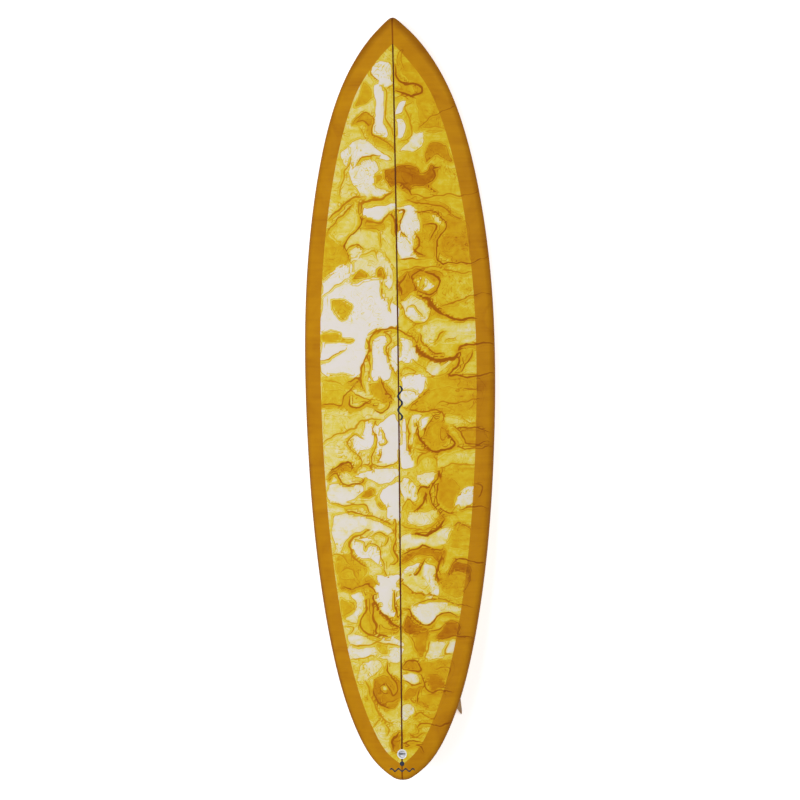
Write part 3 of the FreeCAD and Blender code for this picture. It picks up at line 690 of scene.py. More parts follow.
    ("vein", 0.76, 6, [(-141, 1052), (-140, 1079), (-122, 1094), (-96, 1081), (-66, 1079)]),
    ("vein", 0.5, 5, [(-129, 1041), (-118, 1064), (-65, 1066)]),
    ("vein", 0.72, 5, [(-41, 1041), (-28, 1075), (-47, 1099), (-66, 1090)]),
    ("vein", 0.5, 6, [(-214, 1182), (-179, 1165), (-130, 1142), (-92, 1124), (-51, 1116)]),
    ("vein", 0.62, 4, [
        (-107, 1171), (-130, 1161), (-145, 1180), (-134, 1202), (-108, 1221), (-103, 1236), (-123, 1259)
    ]),
    ("vein", 0.62, 4, [
        (-81, 1118), (-66, 1122), (-69, 1154), (-66, 1191), (-77, 1229), (-67, 1253), (-29, 1251),
        (-3, 1234)
    ]),
    ("vein", 0.6, 4, [(-44, 1150), (-42, 1169), (-34, 1184), (-59, 1199)]),
    ("vein", 0.6, 5, [(-51, 1217), (-55, 1240)]),
    ("vein", 0.84, 6, [(-204, 1271), (-168, 1248), (-142, 1240), (-129, 1259)]),
    ("pool", 0.6, 5, [(-202, 1270), (-164, 1251), (-138, 1255), (-146, 1266), (-183, 1274), (-198, 1300)]),
    ("vein", 0.72, 5, [(-202, 1285), (-179, 1276), (-163, 1298), (-112, 1298), (-103, 1289)]),
    ("vein", 0.6, 5, [(-127, 1259), (-104, 1244), (-82, 1251), (-71, 1266)]),
    ("pool", 0.66, 4, [(-109, 1331), (-84, 1319), (-75, 1321), (-80, 1334), (-97, 1342)]),
    ("pool", 0.62, 4, [(-67, 1341), (-52, 1349), (-34, 1364), (-45, 1368)]),
    ("vein", 0.58, 5, [(-195, 1357), (-142, 1360), (-98, 1364), (-81, 1384)]),
    ("vein", 0.62, 5, [(-156, 1371), (-105, 1390), (-49, 1402), (-30, 1412)]),
    ("vein", 0.6, 7, [(-89, 1435), (-128, 1450), (-145, 1480), (-132, 1510), (-99, 1534)]),
    ("vein", 0.62, 4, [(-83, 1450), (-61, 1439), (-34, 1454), (-42, 1476)]),
    ("vein", 0.55, 4, [(-124, 1456), (-98, 1461), (-95, 1486), (-89, 1465)]),
    ("vein", 0.6, 4, [
        (-87, 1465), (-65, 1476), (-50, 1502), (-46, 1544), (-31, 1566), (-50, 1587), (-73, 1577)
    ]),
    ("vein", 0.66, 6, [(-17, 1401), (-10, 1454), (-14, 1491), (-8, 1514), (-27, 1526)]),
    ("vein", 0.5, 5, [(-196, 1501), (-170, 1506), (-144, 1525)]),
    ("vein", 0.72, 5, [(-137, 1596), (-92, 1589), (-65, 1607)]),
    ("vein", 0.5, 5, [(-166, 1547), (-136, 1536), (-121, 1566)]),
    ("vein", 0.68, 5, [(39, 1079), (66, 1056), (81, 1041)]),
    ("vein", 0.62, 5, [(114, 1079), (178, 1072), (223, 1067)]),
    ("vein", 0.6, 4, [(173, 1084), (193, 1077), (210, 1082), (197, 1096)]),
    ("vein", 0.68, 5, [(21, 1090), (69, 1098), (118, 1101), (133, 1131)]),
    ("vein", 0.8, 4, [(71, 1167), (77, 1135), (99, 1116), (126, 1112)]),
    ("vein", 0.74, 4, [(78, 1148), (88, 1129), (116, 1126)]),
    ("vein", 0.86, 7, [
        (48, 1135), (58, 1169), (84, 1202), (121, 1208), (151, 1199), (148, 1182), (133, 1169)
    ]),
    ("vein", 0.64, 4, [(116, 1146), (111, 1169), (125, 1180), (131, 1161), (116, 1146)]),
    ("vein", 0.72, 5, [(155, 1141), (176, 1157), (176, 1172), (192, 1190), (249, 1188)]),
    ("vein", 0.78, 5, [(172, 1142), (208, 1146), (249, 1161)]),
    ("vein", 0.68, 5, [(117, 1211), (177, 1202), (264, 1203)]),
    ("vein", 0.62, 5, [(28, 1118), (23, 1154), (31, 1191), (34, 1219)]),
    ("vein", 0.5, 6, [(48, 1206), (95, 1214)]),
    ("vein", 0.6, 5, [(46, 1251), (69, 1217), (102, 1229), (106, 1251)]),
    ("vein", 0.5, 5, [(102, 1257), (158, 1251), (215, 1246)]),
    ("vein", 0.84, 5, [(105, 1262), (102, 1296), (86, 1334), (97, 1367), (122, 1403)]),
    ("vein", 0.74, 5, [(118, 1266), (110, 1304), (106, 1341), (120, 1379), (154, 1388)]),
    ("vein", 0.78, 7, [(55, 1322), (64, 1307), (83, 1312), (73, 1337), (56, 1360), (41, 1375)]),
    ("vein", 0.88, 8, [(124, 1401), (105, 1427), (74, 1446), (46, 1447)]),
    ("vein", 0.56, 4, [(114, 1396), (82, 1427), (30, 1431), (7, 1420)]),
    ("vein", 0.55, 4, [(7, 1379), (26, 1345), (38, 1360), (47, 1371)]),
    ("vein", 0.72, 5, [(176, 1373), (206, 1370), (240, 1372)]),
    ("vein", 0.68, 5, [(151, 1422), (165, 1409), (191, 1424)]),
    ("vein", 0.76, 6, [(5, 1497), (44, 1487), (63, 1476), (119, 1487)]),
    ("vein", 0.76, 6, [(67, 1514), (59, 1544), (40, 1566), (4, 1579)]),
    ("vein", 0.78, 7, [(116, 1502), (104, 1536), (112, 1574), (137, 1589)]),
    ("vein", 0.8, 5, [(155, 1516), (186, 1514), (235, 1529)]),
    ("vein", 0.62, 5, [(4, 1585), (28, 1600), (66, 1613)]),
    ("vein", 0.66, 5, [(207, 1304), (233, 1319), (225, 1345)]),
    # the tail
    ("pool", 0.52, 7, [(-178, 1567), (-86, 1567), (-75, 1593), (-128, 1600), (-169, 1597)]),
    ("pool", 0.02, 5, [(-71, 1559), (-2, 1559), (-10, 1604), (-19, 1672), (-53, 1657), (-59, 1604)]),
    ("pool", 0.08, 7, [(-146, 1608), (-101, 1612), (-102, 1645), (-113, 1687), (-156, 1683), (-128, 1653)]),
    ("pool", 0.48, 7, [(-173, 1619), (-135, 1649), (-160, 1679)]),
    ("pool", 0.4, 7, [
        (-94, 1608), (-72, 1615), (-68, 1657), (-34, 1690), (-4, 1705), (-57, 1739), (-87, 1724),
        (-109, 1690)
    ]),
    ("pool", 0.08, 9, [(-154, 1720), (-87, 1728), (-3, 1735), (-3, 1799), (-65, 1792), (-144, 1792)]),
    ("pool", 0.42, 8, [(-72, 1754), (-42, 1754), (-42, 1777), (-57, 1780)]),
    ("pool", 0.16, 8, [(-129, 1855), (-106, 1807), (-65, 1799), (-57, 1822), (-88, 1852), (-118, 1870)]),
    ("pool", 0.3, 9, [(-121, 1870), (-88, 1859), (-84, 1897), (-58, 1953), (-66, 1968), (-96, 1953)]),
    ("pool", 0.62, 6, [
        (-73, 1848), (-42, 1837), (-11, 1848), (-1, 1897), (-28, 1929), (-73, 1919), (-83, 1885)
    ]),
    ("pool", 0.14, 3, [(-58, 1867), (-46, 1861), (-37, 1872), (-48, 1882)]),
    ("pool", 0.2, 8, [(-73, 1990), (-36, 1972), (-6, 1964), (-6, 1994), (-36, 2017), (-66, 2017)]),
    ("pool", 0.66, 5, [(-1, 1994), (-28, 2017), (-31, 2039), (-1, 2050)]),
    ("pool", 0.34, 8, [(-36, 2058), (-13, 2054), (-10, 2077), (-29, 2080)]),
    ("pool", 0.24, 8, [(4, 1559), (64, 1559), (79, 1604), (26, 1600)]),
    ("pool", 0.5, 8, [(105, 1559), (182, 1559), (178, 1612), (135, 1612), (109, 1582)]),
    ("pool", 0.1, 6, [(30, 1642), (63, 1629), (120, 1634), (131, 1657), (78, 1696), (41, 1672)]),
    ("pool", 0.2, 7, [(131, 1642), (172, 1645), (164, 1672), (120, 1668)]),
    ("pool", 0.82, 5, [(26, 1675), (37, 1698), (69, 1707), (71, 1726), (22, 1722), (9, 1702)]),
    ("pool", 0.8, 5, [(119, 1707), (140, 1690), (162, 1700), (157, 1732), (100, 1734)]),
    ("pool", 0.62, 6, [(29, 1728), (72, 1724), (63, 1786), (48, 1780)]),
    ("pool", 0.14, 8, [(78, 1739), (157, 1743), (149, 1784), (74, 1788)]),
    ("pool", 0.6, 6, [(6, 1818), (21, 1801), (50, 1803), (51, 1822), (29, 1830)]),
    ("pool", 0.52, 9, [(59, 1799), (141, 1803), (137, 1855), (66, 1837)]),
    ("pool", 0.12, 5, [(6, 1839), (40, 1837), (51, 1855), (10, 1863)]),
    ("pool", 0.72, 6, [(66, 1840), (96, 1837), (124, 1867), (89, 1882), (72, 1859)]),
    ("pool", 0.64, 6, [(2, 1899), (29, 1876), (59, 1867), (40, 1897), (10, 1910)]),
    ("pool", 0.5, 9, [(59, 1893), (119, 1893), (107, 1934), (51, 1923)]),
    ("pool", 0.12, 7, [(3, 1923), (40, 1921), (32, 1949), (3, 1964)]),
    ("pool", 0.44, 9, [(36, 1942), (96, 1945), (107, 1968), (32, 1968)]),
    ("pool", 0.34, 9, [(2, 1975), (92, 1972), (54, 2065), (1, 2084)]),
    ("vein", 0.76, 6, [(-163, 1589), (-124, 1597), (-90, 1585), (-77, 1604)]),
    ("vein", 0.78, 8, [(-72, 1608), (-68, 1645), (-42, 1675), (-3, 1702)]),
    ("vein", 0.66, 6, [(-101, 1608), (-97, 1645), (-112, 1690), (-87, 1724), (-57, 1739)]),
    ("vein", 0.72, 7, [(-77, 1627), (-83, 1672), (-72, 1702), (-64, 1724), (-35, 1732)]),
    ("vein", 0.5, 4, [(-158, 1674), (-135, 1649), (-147, 1630)]),
    ("vein", 0.78, 5, [(-14, 1608), (-17, 1642), (-10, 1675), (-2, 1668)]),
    ("vein", 0.48, 5, [(-147, 1752), (-72, 1751), (-3, 1752)]),
    ("vein", 0.4, 5, [(-140, 1792), (-72, 1785)]),
    ("vein", 0.5, 4, [(-153, 1702), (-128, 1704), (-147, 1724)]),
    ("vein", 0.6, 4, [(-57, 1702), (-42, 1709), (-4, 1709), (-19, 1720)]),
    ("vein", 0.74, 6, [(-39, 1803), (-35, 1829), (-16, 1855), (-15, 1885), (-28, 1893), (-39, 1859)]),
    ("vein", 0.78, 4, [(-61, 1870), (-48, 1857), (-35, 1872), (-48, 1886), (-61, 1870)]),
    ("vein", 0.78, 6, [(-80, 1882), (-73, 1912), (-39, 1931)]),
    ("vein", 0.66, 5, [(-58, 1908), (-47, 1934), (-43, 1912), (-13, 1908)]),
    ("vein", 0.5, 7, [(-97, 1859), (-88, 1904), (-58, 1957), (-26, 1972)]),
    ("vein", 0.5, 5, [(-77, 1983), (-58, 1969), (-36, 1987), (-43, 2009)]),
    ("vein", 0.84, 6, [(-9, 1996), (-29, 2020), (-28, 2043)]),
    ("vein", 0.78, 5, [(5, 2025), (54, 2027)]),
    ("vein", 0.74, 5, [(5, 2036), (50, 2038), (60, 2052)]),
    ("vein", 0.6, 5, [(21, 2002), (39, 2015), (62, 2005)]),
    ("vein", 0.6, 5, [(32, 1957), (51, 1945), (81, 1957), (100, 1945)]),
    ("vein", 0.68, 5, [(41, 1990), (56, 1975), (99, 1976), (141, 1975)]),
    ("vein", 0.6, 5, [(39, 1987), (49, 2005), (28, 2010)]),
    ("vein", 0.62, 5, [(4, 1578), (22, 1606), (79, 1612), (103, 1621)]),
    ("vein", 0.68, 4, [(41, 1639), (63, 1627), (116, 1630), (168, 1639), (202, 1651)]),
    ("vein", 0.76, 5, [(9, 1657), (28, 1655), (41, 1683), (78, 1699), (116, 1668), (157, 1676)]),
    ("vein", 0.72, 5, [(78, 1713), (108, 1709), (123, 1702)]),
    ("vein", 0.74, 5, [(97, 1734), (145, 1733), (198, 1731)]),
    ("vein", 0.62, 4, [(22, 1728), (48, 1777)]),
    ("vein", 0.78, 5, [(6, 1818), (21, 1801), (48, 1803), (53, 1822), (29, 1830), (8, 1822)]),
    ("vein", 0.76, 5, [(51, 1818), (62, 1859), (77, 1882), (115, 1886), (137, 1885)]),
    ("vein", 0.66, 5, [(5, 1859), (32, 1864), (59, 1859)]),
    ("vein", 0.74, 5, [(49, 1878), (50, 1915)]),
    ("vein", 0.55, 5, [(25, 1908), (40, 1919), (55, 1912)]),
    ("vein", 0.5, 5, [(78, 1743), (72, 1792)]),
    ("vein", 0.5, 5, [(136, 1747), (119, 1780), (141, 1784)]),
    ("vein", 0.6, 4, [(100, 1822), (138, 1822), (130, 1852)]),
]
print(len(POURS), "pours")

# %% [markdown]
# Each pour colours the vertices that it covers. Its points become a smooth curve, and a slow drift
# bends everything a little, as wet resin does when the board is tilted. A broad tint can be a plain
# number at each vertex, but a vein is thinner than a face of the mesh and would come out as beads.
# So each vertex also keeps its distance to the nearest drawn line, counted as negative on one side.
# That number runs evenly through zero at the line, and the shader can draw a crisp line there.

# %% Laying the pours on the skin
CURVE_STEPS = 7
BLEED = 2.6
BLEED_STRENGTH = 0.2
VEIN_CORE = 0.3
HAIRLINE = 1.25
WIDTH_TO_LINE = 0.5
THINNEST_VEIN = 4.0
TAPER_POWER = 4
PALE = 0.2
PALE_RIM, RIM_STEP = 0.56, 0.13
RIM_HALF_WIDTH = 0.8
VEIN_STEP = 0.16
LEFT_TINT, RIGHT_TINT = 0.22, 0.36
STRONGER_AT_NOSE, STRONGER_AT_TAIL = 0.05, 0.04
NOSE_TINT_ENDS, TAIL_TINT_STARTS = (600, 850), (1300, 1500)
CLEAR = 7.0
FAR_AWAY = 60.0
NEAR_MIDDLE = 60.0
NOSE_LAP_STARTS, NOSE_LAP_ENDS = LENGTH - 220, LENGTH - 70
TAIL_LAP_STARTS, TAIL_LAP_ENDS = 40, 160
DECK_LAP_SHORTER_AT_TAIL = 3.0
RIGHT_LAP_WIDER = 3.5
UNDERSIDE = -50.0


def open_curve(points, steps):
    """A smooth curve through points, by Catmull and Rom's rule."""
    p = np.array([points[0], *points, points[-1]], float)
    u = np.linspace(0, 1, steps, endpoint=False)[:, None]
    runs = []
    for a, b, c, d in zip(p[:-3], p[1:-2], p[2:-1], p[3:]):
        runs.append(b + 0.5 * u * (c - a + u * (2 * a - 5 * b + 4 * c - d + u * (3 * (b - c) + d - a))))
    return np.vstack([*runs, p[-1]])


def nearest(points, line):
    """Each point's distance to a line, with its side, its place along it, and whether the line holds it."""
    gap = np.full(len(points), np.inf)
    side = np.ones(len(points))
    along = np.zeros(len(points))
    inside = np.zeros(len(points), bool)
    for i, (a, b) in enumerate(zip(line[:-1], line[1:])):
        run = b - a
        offset = points - a
        share = np.clip(offset @ run / max(float(run @ run), 1e-9), 0, 1)
        here = np.linalg.norm(offset - share[:, None] * run, axis=1)
        turned = np.sign(run[0] * offset[:, 1] - run[1] * offset[:, 0])
        closer = here < gap
        gap = np.where(closer, here, gap)
        side = np.where(closer, turned, side)
        along = np.where(closer, (i + share) / (len(line) - 1), along)
        if run[1] != 0:
            level = (points[:, 1] < a[1]) != (points[:, 1] < b[1])
            crossing = a[0] + (points[:, 1] - a[1]) * run[0] / run[1]
            inside ^= level & (points[:, 0] < crossing)
    return gap, side, along, inside


def drifted(points):
    """Points moved a few millimetres by slow and quick ripples."""
    x, y = points.T
    across = 3.6 * np.sin(y / 19 + 1.7 * np.sin(x / 37)) + 1.6 * np.sin(y / 8.3 + x / 13)
    along = 3.6 * np.sin(x / 17 + 1.3 * np.sin(y / 41)) + 1.6 * np.sin(x / 7.1 - y / 11)
    return points + np.stack([across, along], axis=1)


# Two lines that run close together cannot both be kept at one vertex. The first holds everything
# within a few millimetres of it, and a vein is kept before the rim of a pool.


def draw_line(lines, chosen, gap, side, strength, half_width):
    """Make this the nearest line of the chosen vertices."""
    lines["line_side"][chosen] = gap * side
    lines["line_gap"][chosen] = gap
    lines["line_strength"][chosen] = strength
    lines["line_width"][chosen] = half_width


def lay_pools_and_veins(x, from_nose):
    """The broad tint at each point of the deck, and what each point knows of its nearest line."""
    tint = LEFT_TINT + (RIGHT_TINT - LEFT_TINT) * smooth_step(-NEAR_MIDDLE, NEAR_MIDDLE, x)
    lines = {name: np.full(len(x), FAR_AWAY) for name in ("line_side", "line_gap")}
    lines.update({name: np.zeros(len(x)) for name in ("line_strength", "line_width")})
    from_pool = np.ones(len(x), bool)
    wet = drifted(np.stack([x, from_nose], axis=1))
    for kind, strength, width, points in POURS:
        reach = width * (BLEED + 2)
        low, high = np.min(points, axis=0) - reach, np.max(points, axis=0) + reach
        near = np.flatnonzero(np.all((wet > low) & (wet < high), axis=1))
        if kind == "pool":
            gap, _, _, inside = nearest(wet[near], open_curve([*points, points[0]], CURVE_STEPS))
            side = np.where(inside, -1.0, 1.0)
            cover = 1 - smooth_step(-width / 2, width / 2, gap * side)
            rim = PALE_RIM if strength < PALE else min(1.0, strength + RIM_STEP)
            half = RIM_HALF_WIDTH
            rather = inside & (gap > CLEAR)
        else:
            gap, side, along, _ = nearest(wet[near], open_curve(points, CURVE_STEPS))
            bleed = BLEED_STRENGTH * np.exp(-((gap / (BLEED * width)) ** 2)) * (side > 0)
            cover = np.maximum(VEIN_CORE * np.exp(-((gap / width) ** 2)), bleed)
            rim = min(1.0, strength + VEIN_STEP)
            half = HAIRLINE + WIDTH_TO_LINE * (width - THINNEST_VEIN)
            half = half * (1 - 0.6 * np.abs(2 * along - 1) ** TAPER_POWER)
            rather = from_pool[near] & (gap < CLEAR)
        tint[near] += cover * (strength - tint[near])
        held = lines["line_gap"][near]
        taken = rather | ((gap < held) & (held > CLEAR))
        from_pool[near[taken]] = kind == "pool"
        half = np.broadcast_to(half, gap.shape)[taken]
        draw_line(lines, near[taken], gap[taken], side[taken], rim, half)
    tint += STRONGER_AT_NOSE * (1 - smooth_step(*NOSE_TINT_ENDS, from_nose))
    tint += STRONGER_AT_TAIL * smooth_step(*TAIL_TINT_STARTS, from_nose)
    return tint, lines


def write_attribute(piece, name, values):
    """Store one number for each vertex of a piece."""
    attribute = piece.data.attributes.new(name, "FLOAT", "POINT")
    attribute.data.foreach_set("value", np.asarray(values, np.float32))


outline_tree = kdtree.KDTree(len(edge))
for i, (x, y) in enumerate(edge):
    outline_tree.insert((x, y, 0), i)
outline_tree.balance()


def paint_guides(skin):
    """Give a skin its guides: the tint, the lines, and the distance in from the deck's lap line."""
    own = lie([v.co for v in skin.data.vertices])
    inset = np.array([outline_tree.find((x, y, 0))[2] for x, y in own[:, :2]])
    lap = DECK_LAP + (DECK_LAP_AT_NOSE - DECK_LAP) * smooth_step(NOSE_LAP_STARTS, NOSE_LAP_ENDS, own[:, 1])
    lap = lap - DECK_LAP_SHORTER_AT_TAIL * (1 - smooth_step(TAIL_LAP_STARTS, TAIL_LAP_ENDS, own[:, 1]))
    lap = lap + RIGHT_LAP_WIDER * smooth_step(-NEAR_MIDDLE, NEAR_MIDDLE, own[:, 0])
    on_deck = own[:, 2] > rocker(own[:, 1]) + 0.5 * thickness(own[:, 1])
    tint, lines = lay_pools_and_veins(own[:, 0], LENGTH - own[:, 1])
    write_attribute(skin, "from_lap", np.where(on_deck, inset - lap, UNDERSIDE))
    write_attribute(skin, "pour", tint)
    for name, values in lines.items():
        write_attribute(skin, name, np.where(on_deck, values, FAR_AWAY if name == "line_gap" else values))


paint_guides(deck_skin)
print("the pour is painted on", len(deck_skin.data.vertices), "vertices")

# %% [markdown]
# ## Finishes
#
# A material is a small network of nodes, and writing one out by hand takes many repeated lines. One
# function adds a node, gives its settings and connects its inputs. An input is named by its label or
# its number, and its value is either a number or another node's output.

# %% Adding a node


def add(tree, kind, inputs=None, **settings):
    """Add a shader node, with its settings and what goes into it."""
    made = tree.nodes.new("ShaderNode" + kind)
    stops = settings.pop("stops", ())
    for name, value in settings.items():
        setattr(made, name, value)
    for i, (position, colour) in enumerate(stops):
        element = made.color_ramp.elements[i] if i < 2 else made.color_ramp.elements.new(position)
        element.position, element.color = position, linear(colour)
    for name, value in (inputs or {}).items():
        if isinstance(value, bpy.types.NodeSocket):
            tree.links.new(value, made.inputs[name])
        else:
            made.inputs[name].default_value = value
    return made


def new_material(name, **surface):
    """A named material with a Principled shader, whose plain values are given by their labels."""
    material = bpy.data.materials.new(name)
    material.use_nodes = True
    tree = material.node_tree
    tree.nodes.clear()
    labels = {label.replace("_", " "): value for label, value in surface.items()}
    shader = add(tree, "BsdfPrincipled", labels)
    add(tree, "OutputMaterial", {"Surface": shader.outputs["BSDF"]})
    return material, tree, shader


def wire(tree, shader, **sources):
    """Connect sources to the shader's inputs, which are named by their labels."""
    for label, source in sources.items():
        tree.links.new(source, shader.inputs[label.replace("_", " ")])


def coat_with(piece, material):
    """Give a piece this one material."""
    piece.data.materials.clear()
    piece.data.materials.append(material)


def per_metre(millimetres):
    """The scale of a pattern whose repeat is this long, for coordinates in metres."""
    return 1 / (millimetres * MM)


print("a 45 mm pattern has scale", round(per_metre(45), 1))

# %% [markdown]
# ### Tinted polyester laminate
#
# The deck's glass cloth is soaked in pigmented polyester resin, sanded, and flooded with a clear
# gloss coat. So the colour lies under a thick polished layer: the base is fairly rough and the coat
# is almost mirror-smooth, with polyester's index of about 1.55. The tint's strength comes from the
# pours. Noise at the size of the real eddies breaks up their edges, long streaks run across the
# board beside the rails, and a colour ramp turns strength into white, straw, yellow and burnt amber.
#
# The lines come last. Where the distance to a drawn line is near nothing, the shader lays the dark
# line, and beside it a paler ribbon with an edge of its own. The distance bends a little with noise.

# %% Tinted laminate
POLYESTER_IOR = 1.55
TINT_STOPS = [
    (0.0, "#ded7d1"), (1.0, "#9c5800"), (0.13, "#dcd5c6"), (0.21, "#dccf93"), (0.30, "#d9c757"),
    (0.40, "#d3b824"), (0.52, "#cda310"), (0.66, "#c48d06"), (0.80, "#b67600"), (0.90, "#a96500"),
]
EDDY, CURL, STREAK_LENGTH, STREAK_WIDTH = 46.0, 13.0, 130.0, 13.0
EDDY_WEIGHT, CURL_WEIGHT, HAIRLINE_WEIGHT = 0.36, 0.14, 0.26
WAVER, WAVER_REACH = 22.0, 9.0
SURE, RIBBON = 7.0, 1.6
FOLD, FOLD_STEP, FOLD_PATCH = 60.0, 0.055, 95.0
# Colour multiplied over the outer rail and the lap below it: partly the doubled cloth there, partly painted
# shade where the rail curves away.
DOUBLED_CLOTH_AND_RAIL_SHADE = "#d6c7a4"
STRINGER_SEEN = 2.2
WEAVE = 1.6
RIPPLE = 70.0


def eddies(tree, place, size, detail, distortion):
    """Noise at one size, as a number about zero."""
    noise = add(
        tree, "TexNoise",
        {"Vector": place, "Scale": per_metre(size), "Detail": detail, "Distortion": distortion},
    )
    return add(tree, "Math", {0: noise.outputs["Fac"], 1: 0.5}, operation="SUBTRACT").outputs[0]


def weigh(tree, total, part, weight):
    """total + part * weight."""
    return add(tree, "Math", {0: part, 1: weight, 2: total}, operation="MULTIPLY_ADD").outputs[0]


def streaks(tree, place, length, width, detail):
    """Noise drawn out across the board, about zero."""
    drawn = add(
        tree, "Mapping", {"Vector": place, "Scale": (per_metre(length), per_metre(width), per_metre(length))}
    )
    noise = add(
        tree, "TexNoise", {"Vector": drawn.outputs[0], "Scale": 1.0, "Detail": detail, "Distortion": 0.6}
    )
    return add(tree, "Math", {0: noise.outputs["Fac"], 1: 0.5}, operation="SUBTRACT").outputs[0]


def line_over(tree, distance, half_width, shown):
    """How much of a crisp stripe lies here, from the signed distance to its middle."""
    away = add(tree, "Math", {0: distance}, operation="ABSOLUTE").outputs[0]
    beyond = add(tree, "Math", {0: away, 1: half_width}, operation="SUBTRACT").outputs[0]
    core = add(tree, "MapRange", {"Value": beyond, "From Min": 0.7, "From Max": -0.5}).outputs[0]
    return add(tree, "Math", {0: core, 1: shown}, operation="MULTIPLY").outputs[0]


def drawn_lines(tree, place, strength):
    """The veins and rims over a tint: a crisp dark line, and beside it a ribbon with its own edge."""
    side, gap, shade, width = (
        add(tree, "Attribute", attribute_name="line_" + name).outputs["Fac"]
        for name in ("side", "gap", "strength", "width")
    )
    plain = add(tree, "Math", {0: side}, operation="ABSOLUTE").outputs[0]
    doubt = add(tree, "Math", {0: gap, 1: plain}, operation="SUBTRACT").outputs[0]
    real = add(tree, "MapRange", {"Value": doubt, "From Min": SURE + 1.5, "From Max": SURE}).outputs[0]
    waver = weigh(tree, side, eddies(tree, place, WAVER, 1.0, 0.4), WAVER_REACH)
    half_ribbon = add(tree, "Math", {0: width, 1: RIBBON, 2: 1.0}, operation="MULTIPLY_ADD").outputs[0]
    in_ribbon = add(tree, "Math", {0: waver, 1: half_ribbon}, operation="SUBTRACT").outputs[0]
    from_far_edge = add(tree, "Math", {0: in_ribbon, 1: half_ribbon}, operation="SUBTRACT").outputs[0]
    # Each stripe has its distance, its half width, its share of the line's strength, and its cover.
    stripes = (
        (in_ribbon, half_ribbon, 0.62, 0.60),
        (from_far_edge, 0.5, 0.88, 0.75),
        (waver, width, 1.06, 0.95),
    )
    for distance, half_stripe, darker, cover in stripes:
        over = line_over(tree, distance, half_stripe, real)
        over = add(tree, "Math", {0: over, 1: cover}, operation="MULTIPLY").outputs[0]
        tone = add(tree, "Math", {0: shade, 1: darker}, operation="MULTIPLY").outputs[0]
        strength = add(tree, "Mix", {0: over, 2: strength, 3: tone}).outputs[0]
    return strength


def hairlines(tree, place):
    """Thin contour lines of slow noise, which come and go, as where two colours fold together."""
    noise = add(
        tree, "TexNoise", {"Vector": place, "Scale": per_metre(FOLD), "Detail": 2.0, "Distortion": 1.6}
    )
    saw = add(tree, "Math", {0: noise.outputs["Fac"], 1: FOLD_STEP}, operation="PINGPONG").outputs[0]
    line = add(
        tree, "MapRange", {"Value": saw, "From Min": 0.80 * FOLD_STEP, "From Max": 0.97 * FOLD_STEP}
    ).outputs[0]
    patch = add(tree, "TexNoise", {"Vector": place, "Scale": per_metre(FOLD_PATCH), "Detail": 1.0})
    shown = add(tree, "MapRange", {"Value": patch.outputs["Fac"], "From Min": 0.44, "From Max": 0.60})
    return add(tree, "Math", {0: line, 1: shown.outputs[0]}, operation="MULTIPLY").outputs[0]


def gloss_bump(tree, place):
    """The faint print of the weave and the slow ripple of a hand-polished coat."""
    weave = add(tree, "TexNoise", {"Vector": place, "Scale": per_metre(WEAVE), "Detail": 2.0})
    ripple = add(tree, "TexNoise", {"Vector": place, "Scale": per_metre(RIPPLE), "Detail": 1.0})
    fine = add(tree, "Bump", {"Height": weave.outputs["Fac"], "Strength": 0.04, "Distance": 0.0002})
    slow = add(
        tree, "Bump", {"Height": ripple.outputs["Fac"], "Strength": 0.25, "Distance": 0.0008}
    )
    return fine.outputs[0], slow.outputs[0]


def band_colour(tree, place, strength):
    """Solid amber resin, mottled, with darker veins where a strong pour ran over it."""
    mottle = weigh(tree, 0.42, eddies(tree, place, 120.0, 3.0, 1.4), 1.15)
    mottle = weigh(tree, mottle, streaks(tree, place, 150.0, 9.0, 3.0), 0.5)
    vein = add(
        tree, "MapRange", {"Value": strength, "From Min": 0.55, "From Max": 0.9, "To Min": 0.0, "To Max": 0.6}
    )
    mottle = add(tree, "Math", {0: mottle, 1: vein.outputs[0]}, operation="ADD").outputs[0]
    stops = [(0.0, "#c38a06"), (1.0, "#915200"), (0.35, "#bb8003"), (0.55, "#b47802"), (0.75, "#a76800")]
    return add(tree, "ValToRGB", {"Fac": mottle}, stops=stops).outputs["Color"]


def stringer_line(tree, place, colour, over):
    """The stringer seen through the resin: a dark line down the middle, darker under the amber."""
    across = add(tree, "SeparateXYZ", {0: place}).outputs["X"]
    away = add(tree, "Math", {0: across}, operation="ABSOLUTE").outputs[0]
    inside = add(tree, "Math", {0: away, 1: STRINGER_SEEN * MM}, operation="LESS_THAN").outputs[0]
    grain = streaks(tree, place, 1.2, 60.0, 3.0)
    shade = weigh(tree, 0.5, grain, 1.2)
    wood = add(tree, "ValToRGB", {"Fac": shade}, stops=[(0.0, "#3a160a"), (1.0, "#6e3a1c")]).outputs["Color"]
    stain = add(tree, "ValToRGB", {"Fac": shade}, stops=[(0.0, "#7a4200"), (1.0, "#9a5a04")]).outputs["Color"]
    wood = add(tree, "Mix", {0: over, 6: wood, 7: stain}, data_type="RGBA").outputs[2]
    return add(tree, "Mix", {0: inside, 6: colour, 7: wood}, data_type="RGBA").outputs[2]


